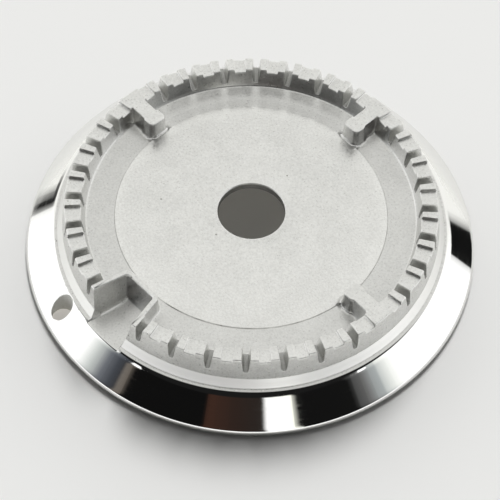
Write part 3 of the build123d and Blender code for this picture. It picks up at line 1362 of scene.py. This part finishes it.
    def lay_band(self, cols: Columns) -> None:
        """Lays the turned band below the outer wall, and beside it the foot of the pocket's walls.

        Args:
            cols: the columns.
        """
        crown, skirt, pocket = self.crown, self.skirt, self.pocket
        inside = cols.kind == Kind.POCKET
        turned_face = np.where(inside | np.roll(inside, -1), Zone.BLASTED, Zone.TURNED)
        eased = [(crown.foot_r + out, crown.foot_z - drop) for out, drop in crown.foot_ease]
        middle = (0.5 * (crown.foot_r + skirt.ledge_r), 0.5 * (crown.foot_z + skirt.edge_z))
        band = [*eased, middle, (skirt.ledge_r, skirt.edge_z)]
        fall = crown.land_z - pocket.floor_z
        for (r, z), (share, lift) in zip(band, pocket.foot_rings):
            height = np.where(inside, pocket.floor_z + lift, z)
            ring = np.full(len(cols.off), r)
            plan = self.outer_plan(cols, ring, (fall - lift) / fall, -pocket.foot * share, height)
            self.add(plan, height, turned_face if crown.foot_r < r < skirt.ledge_r else Zone.BLASTED)

    def lay_ledge(self, cols: Columns) -> None:
        """Lays the ledge and its rounded edge, and beside them the pocket's floor out to its sill.

        Args:
            cols: the columns.
        """
        skirt, pocket = self.skirt, self.pocket
        inside = cols.kind == Kind.POCKET
        cast = inside | np.roll(inside, -1)
        wide = cast | np.roll(cast, 1) | np.roll(cast, -1)
        mirror_face = np.where(wide, Zone.BLASTED, Zone.MIRROR)
        sill_r = skirt.edge_at(pocket.floor_z)
        begin, sill = self.rows[-1][:, :2], self.sill_plan(cols, sill_r)
        rings = (skirt.edge_r - skirt.edge_reach, *skirt.edge_rings, sill_r)
        for share, r in zip(pocket.sill_shares, rings):
            height = np.where(inside, pocket.floor_z, skirt.top(np.array(r)))
            plan = self.outer_plan(cols, np.full(len(cols.off), r), 1.0, 0.0, height)
            plan[inside] = (begin + (sill - begin) * share)[inside]
            height = height - np.where(inside & (r == sill_r), pocket.sill_round, 0.0)
            polished = r > skirt.polish_r
            self.add(plan, height, mirror_face if polished else Zone.BLASTED)
            if polished and not self.window.top:
                self.window.top = len(self.rows) - 1
        self.zones[-1] = np.where(inside != np.roll(inside, -1), Zone.BLASTED, Zone.MIRROR)

    def sill_plan(self, cols: Columns, r: float) -> np.ndarray:
        """Plan points of the pocket's sill: the pocket columns share out the arc of its mouth.

        Args:
            cols: the columns.
            r: radius of the sill.

        Returns:
            One plan point for each column, true for the pocket's columns alone.
        """
        pocket = self.pocket
        step = cols.step - pocket.cheek
        half = np.max(step[cols.kind == Kind.POCKET]) / 2.0
        away = step - half
        mouth = math.asin(float(pocket.half_width(np.array(r), np.array(1.0))) / r)
        share = np.interp(np.abs(away), (*pocket.fan_steps, half), pocket.sill_spread)
        return polar(cols.axis + mouth * share * np.sign(away), r)

    def lay_skirt(self) -> None:
        """Lays the mirror cone and the lip along straight lines out from the ledge."""
        skirt = self.skirt
        angle = np.arctan2(self.rows[-1][:, 1], self.rows[-1][:, 0])
        for r in skirt.cone_rings:
            self.add(polar(angle, r), skirt.top(np.array(r)), Zone.MIRROR)
        self.window.top_end = len(self.rows) - 1
        for r, z in skirt.lip():
            self.add(polar(angle, r), z, Zone.MIRROR)
        self.add(polar(angle, skirt.rim_r), skirt.rim_break, Zone.MIRROR)
        self.add(polar(angle, skirt.rim_r - skirt.rim_break), 0.0, Zone.TURNED)

    def lay_under(self, cols: Columns) -> None:
        """Lays the underside: skirt, pocket floor, dish, collar and disc, back to the bore.

        Args:
            cols: the columns.
        """
        skirt, disc, crown, pocket = self.skirt, self.disc, self.crown, self.pocket
        angle = np.arctan2(self.rows[-1][:, 1], self.rows[-1][:, 0])
        self.window.under = len(self.rows)
        for r in (skirt.under_r, *skirt.under_rings):
            self.add(polar(angle, r), skirt.under(np.array(r)), Zone.SKIN)
        self.window.under_end = len(self.rows) - 1
        deep = cols.deep
        block = turned(pocket.block_outline(0.0, pocket.under_r)[cols.step[deep]], cols.axis[deep])
        level = disc.dish_z - disc.wall
        low_r = crown.foot_r - skirt.ledge_flat / 2.0
        for r, z, block_z in (
            (low_r, skirt.under(np.array(low_r)), pocket.floor_z - skirt.wall),
            (crown.out_r - disc.wall / 2.0, level, level),
        ):
            plan = polar(angle, r)
            plan[deep] = block
            self.add(plan, np.where(deep, block_z, z), Zone.SKIN)
        begin, ring = self.rows[-1][:, :2], polar(cols.hub, disc.edge_r)
        for share in disc.under_shares:
            self.add(begin + (ring - begin) * share, level, Zone.SKIN)
        for r, z in disc.collar():
            self.add(polar(cols.hub, r), z, Zone.SKIN)
        # The bore's wall is painted darker as shade
        self.add(polar(cols.hub, disc.bore_r), disc.crest_z - disc.wall + disc.bore_break, Zone.PORT)

    def lay_rows(self, cols: Columns) -> None:
        """Lays all rows: from the bore over disc, dish, crown and ledge to the lip, and back below.

        Args:
            cols: the columns.
        """
        floor = self.dish_floor(cols)
        walls = self.wall_rows(cols, floor)
        plans = [self.inner_plan(cols, row) for row in walls]
        self.lay_disc(cols, np.hypot(*plans[0].T))
        self.lay_inner_wall(cols, floor, walls, plans)
        self.lay_lands(cols)
        self.lay_outer_wall(cols)
        self.lay_band(cols)
        self.lay_ledge(cols)
        self.lay_skirt()
        self.lay_under(cols)

    def faces(self) -> tuple[np.ndarray, np.ndarray, np.ndarray, np.ndarray]:
        """Joins the rows into a closed sheet, lets the sensor hole into it and drops unused points.

        Returns:
            Vertices, quads, the zone of each quad, and how far each vertex is brightened by wear on the
            crown and by painted light on the disc.
        """
        grid = np.stack(self.rows)
        rows, count = grid.shape[:2]
        index = np.arange(rows * count).reshape(rows, count)
        quads = np.stack([
            index,
            np.roll(index, -1, 0),
            np.roll(np.roll(index, -1, 0), -1, 1),
            np.roll(index, -1, 1),
        ], -1)
        keep = np.ones((rows, count), bool)
        points, hole_quads, hole_zones = self.let_in_hole(grid, index, keep)
        verts = np.concatenate([grid.reshape(-1, 3), points])
        wear_and_sheen = np.concatenate([np.repeat(np.array(self.wear_and_sheen_rows), count), np.zeros(len(points))])
        quads = np.concatenate([quads[keep].reshape(-1, 4), hole_quads])
        zones = np.concatenate([np.stack(self.zones)[keep].ravel(), hole_zones])
        used = np.unique(quads)
        place = np.full(len(verts), -1)
        place[used] = np.arange(len(used))
        return verts[used], place[quads], zones, wear_and_sheen[used]

    def let_in_hole(
        self, grid: np.ndarray, index: np.ndarray, keep: np.ndarray
    ) -> tuple[np.ndarray, np.ndarray, np.ndarray]:
        """Replaces a window of the sheet, above and below, by rings that lead into the hole.

        Above, the rings lie on the skirt between the window's border and the hole's rounded edge.
        Below, they lead to the guide tube, down it and across its foot. A tube joins both.

        Args:
            grid: points of the sheet.
            index: their numbers.
            keep: which quads stay, changed in place.

        Returns:
            Points of the rings, quads of the rings and the tube, and the zones of these.
        """
        hole, window = self.sensor, self.window
        row = grid[window.top + 2]
        angle = np.degrees(np.arctan2(row[:, 1], row[:, 0])) % 360.0
        half = math.degrees((hole.guide + hole.margin) / hole.r)
        across = np.nonzero(np.abs(angle - hole.angle) <= half)[0]
        first, last = across[0] - 1, across[-1] + 1
        points, quads, zones, ends = [], [], [], []
        free = grid.shape[0] * grid.shape[1]
        for begin, end, rings, zone in (
            (window.top, window.top_end, self.hole_top, Zone.MIRROR),
            (window.under_end, window.under, self.hole_under, Zone.SKIN),
        ):
            keep[min(begin, end):max(begin, end), first:last] = False
            step = 1 if end > begin else -1
            down = np.arange(begin, end + step, step)
            outer = np.concatenate([
                index[begin, first:last],
                index[down[:-1], last],
                index[end, last:first:-1],
                index[down[:0:-1], first],
            ])
            border = grid.reshape(-1, 3)[outer, :2]
            spoke = border - hole.centre
            spoke = spoke / np.linalg.norm(spoke, axis=1)[:, None]
            for ring in rings(border, spoke):
                inner = np.arange(free, free + len(ring))
                free += len(ring)
                strip = np.stack([outer, inner, np.roll(inner, -1), np.roll(outer, -1)], -1)
                points.append(ring)
                quads.append(strip[:, ::step])
                zones.append(np.full(len(strip), zone))
                outer = inner
            ends.append(outer)
        upper, lower = ends
        quads.append(np.stack([upper, lower, np.roll(lower, -1), np.roll(upper, -1)], -1))
        zones.append(np.full(len(upper), Zone.SKIN))
        return np.concatenate(points), np.concatenate(quads), np.concatenate(zones)

    def hole_top(self, border: np.ndarray, spoke: np.ndarray) -> list[np.ndarray]:
        """Rings on the skirt from the window's border to the hole, ending in its rounded edge.

        Args:
            border: plan points of the window's border.
            spoke: direction from the hole's axis to each of them.

        Returns:
            Points of each ring.
        """
        hole, skirt = self.sensor, self.skirt
        edge = hole.centre + (hole.radius + hole.edge_round) * spoke
        rings = []
        for share in hole.top_shares:
            plan = border + (edge - border) * share
            rings.append(np.column_stack([plan, skirt.top(np.hypot(*plan.T))]))
        for size, sink in hole.edge_rings:
            plan = hole.centre + (hole.radius + size * hole.edge_round) * spoke
            rings.append(np.column_stack([plan, skirt.top(np.hypot(*plan.T)) - sink * hole.edge_round]))
        return rings

    def hole_under(self, border: np.ndarray, spoke: np.ndarray) -> list[np.ndarray]:
        """Rings from the window's border below to the guide tube, down it and across its foot.

        The tube runs into the inside of the skirt where it would pass through it.

        Args:
            border: plan points of the window's border.
            spoke: direction from the hole's axis to each of them.

        Returns:
            Points of each ring.
        """
        hole, skirt = self.sensor, self.skirt
        outer = hole.centre + hole.guide * spoke
        outer = outer * np.minimum(hole.guide_limit / np.hypot(*outer.T), 1.0)[:, None]
        rings = []
        for share in hole.under_shares:
            plan = border + (outer - border) * share
            rings.append(np.column_stack([plan, skirt.under(np.hypot(*plan.T))]))
        for plan, lift in (
            (outer, 0.0),
            (hole.centre + (hole.radius + hole.guide_break) * spoke, 0.0),
            (hole.centre + hole.radius * spoke, hole.guide_break),
        ):
            foot = np.minimum(skirt.under(np.hypot(*plan.T)), hole.guide_z)
            rings.append(np.column_stack([plan, foot + lift]))
        return rings

    def build(self) -> bpy.types.Object:
        """Works out the sheet and puts it into a mesh.

        Returns:
            The piece, at the origin.
        """
        self.lay_rows(self.columns())
        verts, quads, zones, wear_and_sheen = self.faces()
        mesh = bpy.data.meshes.new("burner_head_casting")
        mesh.from_pydata((verts * MM).tolist(), [], quads.tolist())
        mesh.polygons.foreach_set("material_index", zones.astype(np.int32))
        mesh.polygons.foreach_set("use_smooth", np.ones(len(quads), bool))
        # Wear on the crown's lands and edges, and painted light on the disc, the bore's brim and the
        # step's edge
        brightening = mesh.attributes.new("wear_and_sheen", "FLOAT", "POINT")
        brightening.data.foreach_set("value", wear_and_sheen.astype(np.float32))
        mesh.set_sharp_from_angle(angle=math.radians(self.crease))
        mesh.validate()
        piece = bpy.data.objects.new("burner_head_casting", mesh)
        bpy.context.scene.collection.objects.link(piece)
        return piece

    def dress(self, piece: bpy.types.Object) -> None:
        """Gives the piece one finish for each zone, in order, and ties it to the frame.

        Args:
            piece: the casting.
        """
        for finish in (
            BlastedCasting(),
            TurnedFace(),
            TurnedFace(
                name="aluminium_mirror_turned", colour="#ECECEA", roughness=0.045, ring_mm=0.6,
                depth_mm=0.0004, spread=0.02,
            ),
            # Underside and guide tube: as-cast skin, painted paler so that the tube in the sensor hole
            # reads lighter
            BlastedCasting(
                name="aluminium_as_cast_skin_painted_pale", pale="#F2F2F0", dull="#E8E8E5", roughness=0.95,
            ),
            # Bore walls and port floors: the casting, rougher and painted darker as shade in those
            # recesses
            BlastedCasting(
                name="aluminium_die_cast_painted_shade", pale="#B0B0AE", dull="#9A9A98", roughness=0.5,
            ),
        ):
            piece.data.materials.append(finish.material())
        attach(piece, "root")
        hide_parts("burner_head")


@dataclass(frozen=True)
class Ray:
    """Sockets that say where a ray into the world goes: its direction and this direction's parts."""

    way: Socket
    side: Socket
    ahead: Socket
    up: Socket
    compass: Socket


@dataclass(frozen=True)
class Studio:
    """White tent with a dark front, a pale table, a softbox behind and the camera.

    Angles are degrees off the front, positive to the right, and degrees of height. Heights of the
    tent are the upward part of a direction. Lengths are metres.
    """

    # Walls of the tent, the dark gaps at their feet, the pale apron in front, and the table below
    strength: float = 1.35
    wall_top: tuple[float, float] = (0.6, 0.64)
    gap: str = "#101010"
    gap_top: tuple[float, float] = (0.08, 0.03)
    apron: str = "#FFFFFF"
    apron_top: tuple[float, float] = (0.14, 0.04)
    apron_front: tuple[float, float] = (0.0, 0.3)
    table: str = "#E4E4E0"
    table_top: tuple[float, float] = (-0.12, -0.17)
    # Ceiling: dark in front, grey behind and paler at the sides behind
    ceiling: str = "#181818"
    back_ceiling: str = "#848482"
    side_ceiling: str = "#C8C8C5"
    ceiling_back: tuple[float, float] = (0.1, -0.3)
    ceiling_side: tuple[float, float] = (0.15, 0.5)
    # Two pale roof panels behind, and two small lamps in front
    roof: str = "#FFFFFC"
    roof_turns: tuple[float, float] = (-150.0, 152.0)
    roof_rise: float = 70.0
    roof_edge: tuple[float, float] = (0.79, 0.97)
    roof_level: float = 0.94
    lamp: str = "#FFFFFF"
    lamp_turns: tuple[float, float] = (-54.5, 58.0)
    lamp_rise: float = 36.0
    lamp_edge: tuple[float, float] = (0.9991, 0.9993)
    # Light on the table: the softbox, and a soft dome from the same side
    key_turn: float = 175.0
    key_rise: float = 43.5
    key_angle: float = 22.0
    key_level: float = 2.62
    dome: str = "#FFFFFF"
    dome_rise: float = 20.0
    dome_top: tuple[float, float] = (0.8, 0.55)
    dome_level: float = 2.2
    fill: float = 0.02
    # Metal is lit by the tent before the first diffuse bounce alone
    bounce_limit: float = 0.5
    backdrop: str = "#F4F4F3"
    # The table's sheet, the circle of it that metal sees, and the painted glow under the object and the
    # hole
    floor_half: float = 3.0
    floor_colour: str = "#F0F0EE"
    near_r: tuple[float, float] = (0.065, 0.095)
    glow: str = "#FFFAF4"
    glow_r: tuple[float, float] = (0.064, 0.058)
    glow_level: float = 0.05
    hole_glow_r: tuple[float, float] = (0.0045, 0.0035)
    hole_glow_level: float = 0.3
    clip: tuple[float, float] = (0.01, 20.0)
    lens_mm: float = 149.9
    sensor_mm: float = 36.0
    elevation: float = 55.21
    distance: float = 0.6
    aim_z: float = -0.00403
    roll: float = 2.04

    def tent(self) -> list[tuple[float, str]]:
        """Colours of the tent's walls by angle: white sides, pale back, dark front with a bright door."""
        return [
            (-180, "#E4E4E1"), (-130, "#E6E6E3"), (-126, "#FFFFFF"), (-76, "#FFFFFF"),
            (-71, "#C4C8C6"), (-65, "#66696F"), (-60, "#3C3F45"), (-57.5, "#36373A"),
            (-56, "#6E6862"), (-53.5, "#5C5650"), (-52.5, "#0E0E0E"), (-17.5, "#0E0E0E"),
            (-15.5, "#38261F"), (-4, "#2B211D"), (8.5, "#262220"), (10, "#FFFFFF"),
            (22, "#FFFFF4"), (23.3, "#101010"), (48, "#121212"), (55, "#666666"),
            (61, "#A0A5A6"), (66, "#E2E4E1"), (71, "#FFFFFF"), (117, "#FFFFFF"),
            (128, "#E6E6E3"), (180, "#E4E4E1"),
        ]

    def gaps(self) -> list[tuple[float, str]]:
        """How open the low gap is between the tent's rear corners and the table, by angle."""
        return [
            (-180, "#000000"), (-141, "#000000"), (-136.5, "#EEEEEE"), (-130.5, "#FFFFFF"),
            (-127.8, "#000000"), (116, "#000000"), (118, "#FFFFFF"), (128.5, "#FFFFFF"),
            (130.5, "#909090"), (132.5, "#000000"), (180, "#000000"),
        ]

    @staticmethod
    def around(colours: list[tuple[float, str]]) -> list[tuple[float, tuple]]:
        """Turns angles from -180 to 180 degrees into shares of the full turn, with linear colours."""
        return [((angle + 180.0) / 360.0, linear(colour)) for angle, colour in colours]

    @staticmethod
    def towards(turn: float, rise: float) -> Vector:
        """Direction at an angle off the front, positive to the right, and a height, both in degrees."""
        side, up = math.radians(turn), math.radians(rise)
        return Vector((math.sin(side) * math.cos(up), -math.cos(side) * math.cos(up), math.sin(up)))

    def ray(self, tree: Tree) -> Ray:
        """Adds the nodes that say where a ray goes.

        Args:
            tree: node tree of the world.

        Returns:
            The ray's sockets.
        """
        way = node(tree, "ShaderNodeTexCoord").outputs["Generated"]
        part = node(tree, "ShaderNodeSeparateXYZ", {"Vector": way})
        ahead = node(tree, "ShaderNodeMath", {0: part.outputs["Y"], 1: -1.0}, operation="MULTIPLY")
        turn = node(tree, "ShaderNodeMath", {
            0: part.outputs["X"], 1: ahead.outputs["Value"]}, operation="ARCTAN2")
        compass = node(tree, "ShaderNodeMapRange", {
            "Value": turn.outputs["Value"], "From Min": -math.pi, "From Max": math.pi})
        return Ray(
            way, part.outputs["X"], ahead.outputs["Value"], part.outputs["Z"], compass.outputs["Result"],
        )

    def walls(self, tree: Tree, ray: Ray) -> Socket:
        """Colours the walls by angle, with the gaps and the apron low down and the table below them.

        Args:
            tree: node tree of the world.
            ray: where the ray goes.

        Returns:
            Socket with the colour.
        """
        sheet = node(tree, "ShaderNodeValToRGB", {"Fac": ray.compass}, self.around(self.tent()))
        open_at = node(tree, "ShaderNodeValToRGB", {"Fac": ray.compass}, self.around(self.gaps()))
        foot = node(tree, "ShaderNodeMapRange", {
            "Value": ray.up, "From Min": self.gap_top[0], "From Max": self.gap_top[1]})
        gap = node(tree, "ShaderNodeMath", {
            0: open_at.outputs["Color"], 1: foot.outputs["Result"]}, operation="MULTIPLY")
        hung = node(tree, "ShaderNodeMix", {
            "Factor": gap.outputs["Value"], "A": sheet.outputs["Color"], "B": linear(self.gap)},
            data_type="RGBA")
        front = node(tree, "ShaderNodeMapRange", {
            "Value": ray.ahead, "From Min": self.apron_front[0], "From Max": self.apron_front[1]})
        low = node(tree, "ShaderNodeMapRange", {
            "Value": ray.up, "From Min": self.apron_top[0], "From Max": self.apron_top[1]})
        apron = node(tree, "ShaderNodeMath", {
            0: front.outputs["Result"], 1: low.outputs["Result"]}, operation="MULTIPLY")
        bright = node(tree, "ShaderNodeMix", {
            "Factor": apron.outputs["Value"], "A": hung.outputs["Result"], "B": linear(self.apron)},
            data_type="RGBA")
        below = node(tree, "ShaderNodeMapRange", {
            "Value": ray.up, "From Min": self.table_top[0], "From Max": self.table_top[1]})
        ground = node(tree, "ShaderNodeMix", {
            "Factor": below.outputs["Result"], "A": bright.outputs["Result"], "B": linear(self.table)},
            data_type="RGBA")
        return ground.outputs["Result"]

    def cover(self, tree: Tree, ray: Ray, walls: Socket) -> Socket:
        """Closes the walls above with the ceiling.

        Args:
            tree: node tree of the world.
            ray: where the ray goes.
            walls: colour of the walls.

        Returns:
            Socket with the colour.
        """
        wide = node(tree, "ShaderNodeMath", {0: ray.side}, operation="ABSOLUTE")
        flank = node(tree, "ShaderNodeMapRange", {
            "Value": wide.outputs["Value"], "From Min": self.ceiling_side[0],
            "From Max": self.ceiling_side[1]})
        rear = node(tree, "ShaderNodeMix", {
            "Factor": flank.outputs["Result"], "A": linear(self.back_ceiling),
            "B": linear(self.side_ceiling)}, data_type="RGBA")
        behind = node(tree, "ShaderNodeMapRange", {
            "Value": ray.ahead, "From Min": self.ceiling_back[0], "From Max": self.ceiling_back[1]})
        lid = node(tree, "ShaderNodeMix", {
            "Factor": behind.outputs["Result"], "A": linear(self.ceiling), "B": rear.outputs["Result"]},
            data_type="RGBA")
        above = node(tree, "ShaderNodeMapRange", {
            "Value": ray.up, "From Min": self.wall_top[0], "From Max": self.wall_top[1]})
        closed = node(tree, "ShaderNodeMix", {
            "Factor": above.outputs["Result"], "A": walls, "B": lid.outputs["Result"]},
            data_type="RGBA")
        return closed.outputs["Result"]

    def panels(self, tree: Tree, ray: Ray, cover: Socket) -> tuple[Socket, Socket]:
        """Hangs the two roof panels and the two small lamps. Each fades by the angle off its middle.

        Args:
            tree: node tree of the world.
            ray: where the ray goes.
            cover: colour of walls and ceiling.

        Returns:
            Sockets with the colour and with the share of a roof panel in it.
        """
        left, right = [
            node(tree, "ShaderNodeVectorMath", {
                0: ray.way, 1: self.towards(turn, self.roof_rise)}, operation="DOT_PRODUCT")
            for turn in self.roof_turns
        ]
        near = node(tree, "ShaderNodeMath", {
            0: left.outputs["Value"], 1: right.outputs["Value"]}, operation="MAXIMUM")
        over = node(tree, "ShaderNodeMapRange", {
            "Value": near.outputs["Value"], "From Min": self.roof_edge[0], "From Max": self.roof_edge[1]})
        hung = node(tree, "ShaderNodeMix", {
            "Factor": over.outputs["Result"], "A": cover, "B": linear(self.roof)}, data_type="RGBA")
        for turn in self.lamp_turns:
            aside = node(tree, "ShaderNodeVectorMath", {
                0: ray.way, 1: self.towards(turn, self.lamp_rise)}, operation="DOT_PRODUCT")
            spot = node(tree, "ShaderNodeMapRange", {
                "Value": aside.outputs["Value"], "From Min": self.lamp_edge[0],
                "From Max": self.lamp_edge[1]})
            hung = node(tree, "ShaderNodeMix", {
                "Factor": spot.outputs["Result"], "A": hung.outputs["Result"], "B": linear(self.lamp)},
                data_type="RGBA")
        return hung.outputs["Result"], over.outputs["Result"]

    def soft_dome(self, tree: Tree, ray: Ray) -> Socket:
        """Works out the dome of light on the table: by the angle off its middle, and less overhead.

        Args:
            tree: node tree of the world.
            ray: where the ray goes.

        Returns:
            Socket with the strength.
        """
        facing = node(tree, "ShaderNodeVectorMath", {
            0: ray.way, 1: self.towards(self.key_turn, self.dome_rise)}, operation="DOT_PRODUCT")
        soft = node(tree, "ShaderNodeMath", {0: facing.outputs["Value"], 1: 0.0}, operation="MAXIMUM")
        sink = node(tree, "ShaderNodeMapRange", {
            "Value": ray.up, "From Min": self.dome_top[0], "From Max": self.dome_top[1],
            "To Max": self.dome_level})
        level = node(tree, "ShaderNodeMath", {
            0: soft.outputs["Value"], 1: sink.outputs["Result"], 2: self.fill}, operation="MULTIPLY_ADD")
        return level.outputs["Value"]

    def world(self) -> None:
        """Lights the scene from the tent.

        Metal sees the tent: walls coloured by angle, a ceiling that is dark in front and pale behind,
        two roof panels and two small lamps. The matt table gets a soft dome of light that is stronger
        from the back, and what the metal throws on it is left out. The camera sees an even backdrop.
        """
        world = bpy.data.worlds.new("tent")
        bpy.context.scene.world = world
        world.use_nodes = True
        tree = world.node_tree
        tree.nodes.clear()
        ray = self.ray(tree)
        colour, over = self.panels(tree, ray, self.cover(tree, ray, self.walls(tree, ray)))
        beam = node(tree, "ShaderNodeLightPath")
        once = node(tree, "ShaderNodeMath", {
            0: beam.outputs["Diffuse Depth"], 1: self.bounce_limit}, operation="LESS_THAN")
        level = node(tree, "ShaderNodeMapRange", {
            "Value": over, "To Min": self.strength, "To Max": self.roof_level})
        power = node(tree, "ShaderNodeMath", {
            0: once.outputs["Value"], 1: level.outputs["Result"]}, operation="MULTIPLY")
        metal = node(tree, "ShaderNodeBackground", {"Color": colour, "Strength": power.outputs["Value"]})
        matt = node(tree, "ShaderNodeBackground", {
            "Color": linear(self.dome), "Strength": self.soft_dome(tree, ray)})
        lit = node(tree, "ShaderNodeMixShader", {
            0: beam.outputs["Is Diffuse Ray"], 1: metal.outputs["Background"],
            2: matt.outputs["Background"]})
        seen = node(tree, "ShaderNodeBackground", {"Color": linear(self.backdrop), "Strength": 1.0})
        both = node(tree, "ShaderNodeMixShader", {
            0: beam.outputs["Is Camera Ray"], 1: lit.outputs["Shader"], 2: seen.outputs["Background"]})
        node(tree, "ShaderNodeOutputWorld", {"Surface": both.outputs["Shader"]})

    def key(self) -> None:
        """Hangs the softbox behind the object that draws its shadow; metal sees the tent in its place."""
        data = bpy.data.lights.new("softbox", "SUN")
        data.energy = self.key_level
        data.angle = math.radians(self.key_angle)
        lamp = bpy.data.objects.new("softbox", data)
        lamp.rotation_euler = self.towards(self.key_turn, self.key_rise).to_track_quat("Z", "Y").to_euler()
        lamp.visible_glossy = False
        bpy.context.scene.collection.objects.link(lamp)

    def floor(self, hole: SensorHole) -> None:
        """Lays the table under the object.

        Args:
            hole: the sensor hole, under which the table's painted glow is stronger.
        """
        half = self.floor_half
        corners = [(-half, -half, 0.0), (half, -half, 0.0), (half, half, 0.0), (-half, half, 0.0)]
        mesh = bpy.data.meshes.new("table")
        mesh.from_pydata(corners, [], [(0, 1, 2, 3)])
        mesh.materials.append(self.sheet(hole))
        table = bpy.data.objects.new("table", mesh)
        bpy.context.scene.collection.objects.link(table)

    def sheet(self, hole: SensorHole) -> bpy.types.Material:
        """Builds the table's material: a pale matt sheet with a painted glow below the object.

        Metal sees only the part of it near the object, and the tent beyond that.

        Args:
            hole: the sensor hole, under which the painted glow is stronger.

        Returns:
            A pale matt sheet with a painted glow.
        """
        made, tree = blank("table_matt_painted_glow")
        place = node(tree, "ShaderNodeTexCoord").outputs["Object"]
        far = node(tree, "ShaderNodeVectorMath", {0: place}, operation="LENGTH")
        out = node(tree, "ShaderNodeMapRange", {
            "Value": far.outputs["Value"], "From Min": self.near_r[0], "From Max": self.near_r[1]})
        beam = node(tree, "ShaderNodeLightPath")
        gone = node(tree, "ShaderNodeMath", {
            0: out.outputs["Result"], 1: beam.outputs["Is Glossy Ray"]}, operation="MULTIPLY")
        matt = node(tree, "ShaderNodeBsdfDiffuse", {"Color": linear(self.floor_colour)})
        # Painted glow: faint under the object and stronger under the sensor hole, to light what shows
        # through the bore and the hole
        under = node(tree, "ShaderNodeMapRange", {
            "Value": far.outputs["Value"], "From Min": self.glow_r[0], "From Max": self.glow_r[1],
            "To Max": self.glow_level})
        aside = node(tree, "ShaderNodeVectorMath", {
            0: place, 1: Vector((*hole.centre * MM, 0.0))}, operation="DISTANCE")
        hole_glow = node(tree, "ShaderNodeMapRange", {
            "Value": aside.outputs["Value"], "From Min": self.hole_glow_r[0], "From Max": self.hole_glow_r[1],
            "To Max": self.hole_glow_level})
        through = node(tree, "ShaderNodeMath", {0: under.outputs["Result"], 1: hole_glow.outputs["Result"]})
        below = node(tree, "ShaderNodeEmission", {
            "Color": linear(self.glow), "Strength": through.outputs["Value"]})
        card = node(tree, "ShaderNodeAddShader", {0: matt.outputs["BSDF"], 1: below.outputs["Emission"]})
        clear = node(tree, "ShaderNodeBsdfTransparent")
        both = node(tree, "ShaderNodeMixShader", {
            0: gone.outputs["Value"], 1: card.outputs["Shader"], 2: clear.outputs["BSDF"]})
        node(tree, "ShaderNodeOutputMaterial", {"Surface": both.outputs["Shader"]})
        return made

    def camera(self) -> None:
        """Places the camera at the photograph's angle, with its slight roll."""
        rise, turn = math.radians(self.elevation), math.radians(self.roll)
        back = Vector((0.0, -math.cos(rise), math.sin(rise)))
        right = Vector((1.0, 0.0, 0.0))
        up = back.cross(right)
        tilted = right * math.cos(turn) + up * math.sin(turn)
        upright = up * math.cos(turn) - right * math.sin(turn)
        data = bpy.data.cameras.new("camera")
        data.lens = self.lens_mm
        data.sensor_width = self.sensor_mm
        data.clip_start, data.clip_end = self.clip
        camera = bpy.data.objects.new("camera", data)
        spin = Matrix((tilted, upright, back)).transposed().to_4x4()
        stand = Vector((0.0, 0.0, self.aim_z)) + back * self.distance
        camera.matrix_world = Matrix.Translation(stand) @ spin
        bpy.context.scene.collection.objects.link(camera)
        bpy.context.scene.camera = camera


def main() -> None:
    """Builds and dresses the head, then sets the studio."""
    logging.basicConfig(level=logging.INFO, format="%(name)s %(message)s")
    bpy.context.scene.view_settings.view_transform = "Standard"
    head = BurnerHead()
    piece = head.build()
    head.dress(piece)
    log.info("piece %s: %d rows, %d faces", piece.name, len(head.rows), len(piece.data.polygons))
    studio = Studio()
    studio.world()
    studio.key()
    studio.floor(head.sensor)
    studio.camera()
    log.info("studio set")


if __name__ == "__main__":
    main()
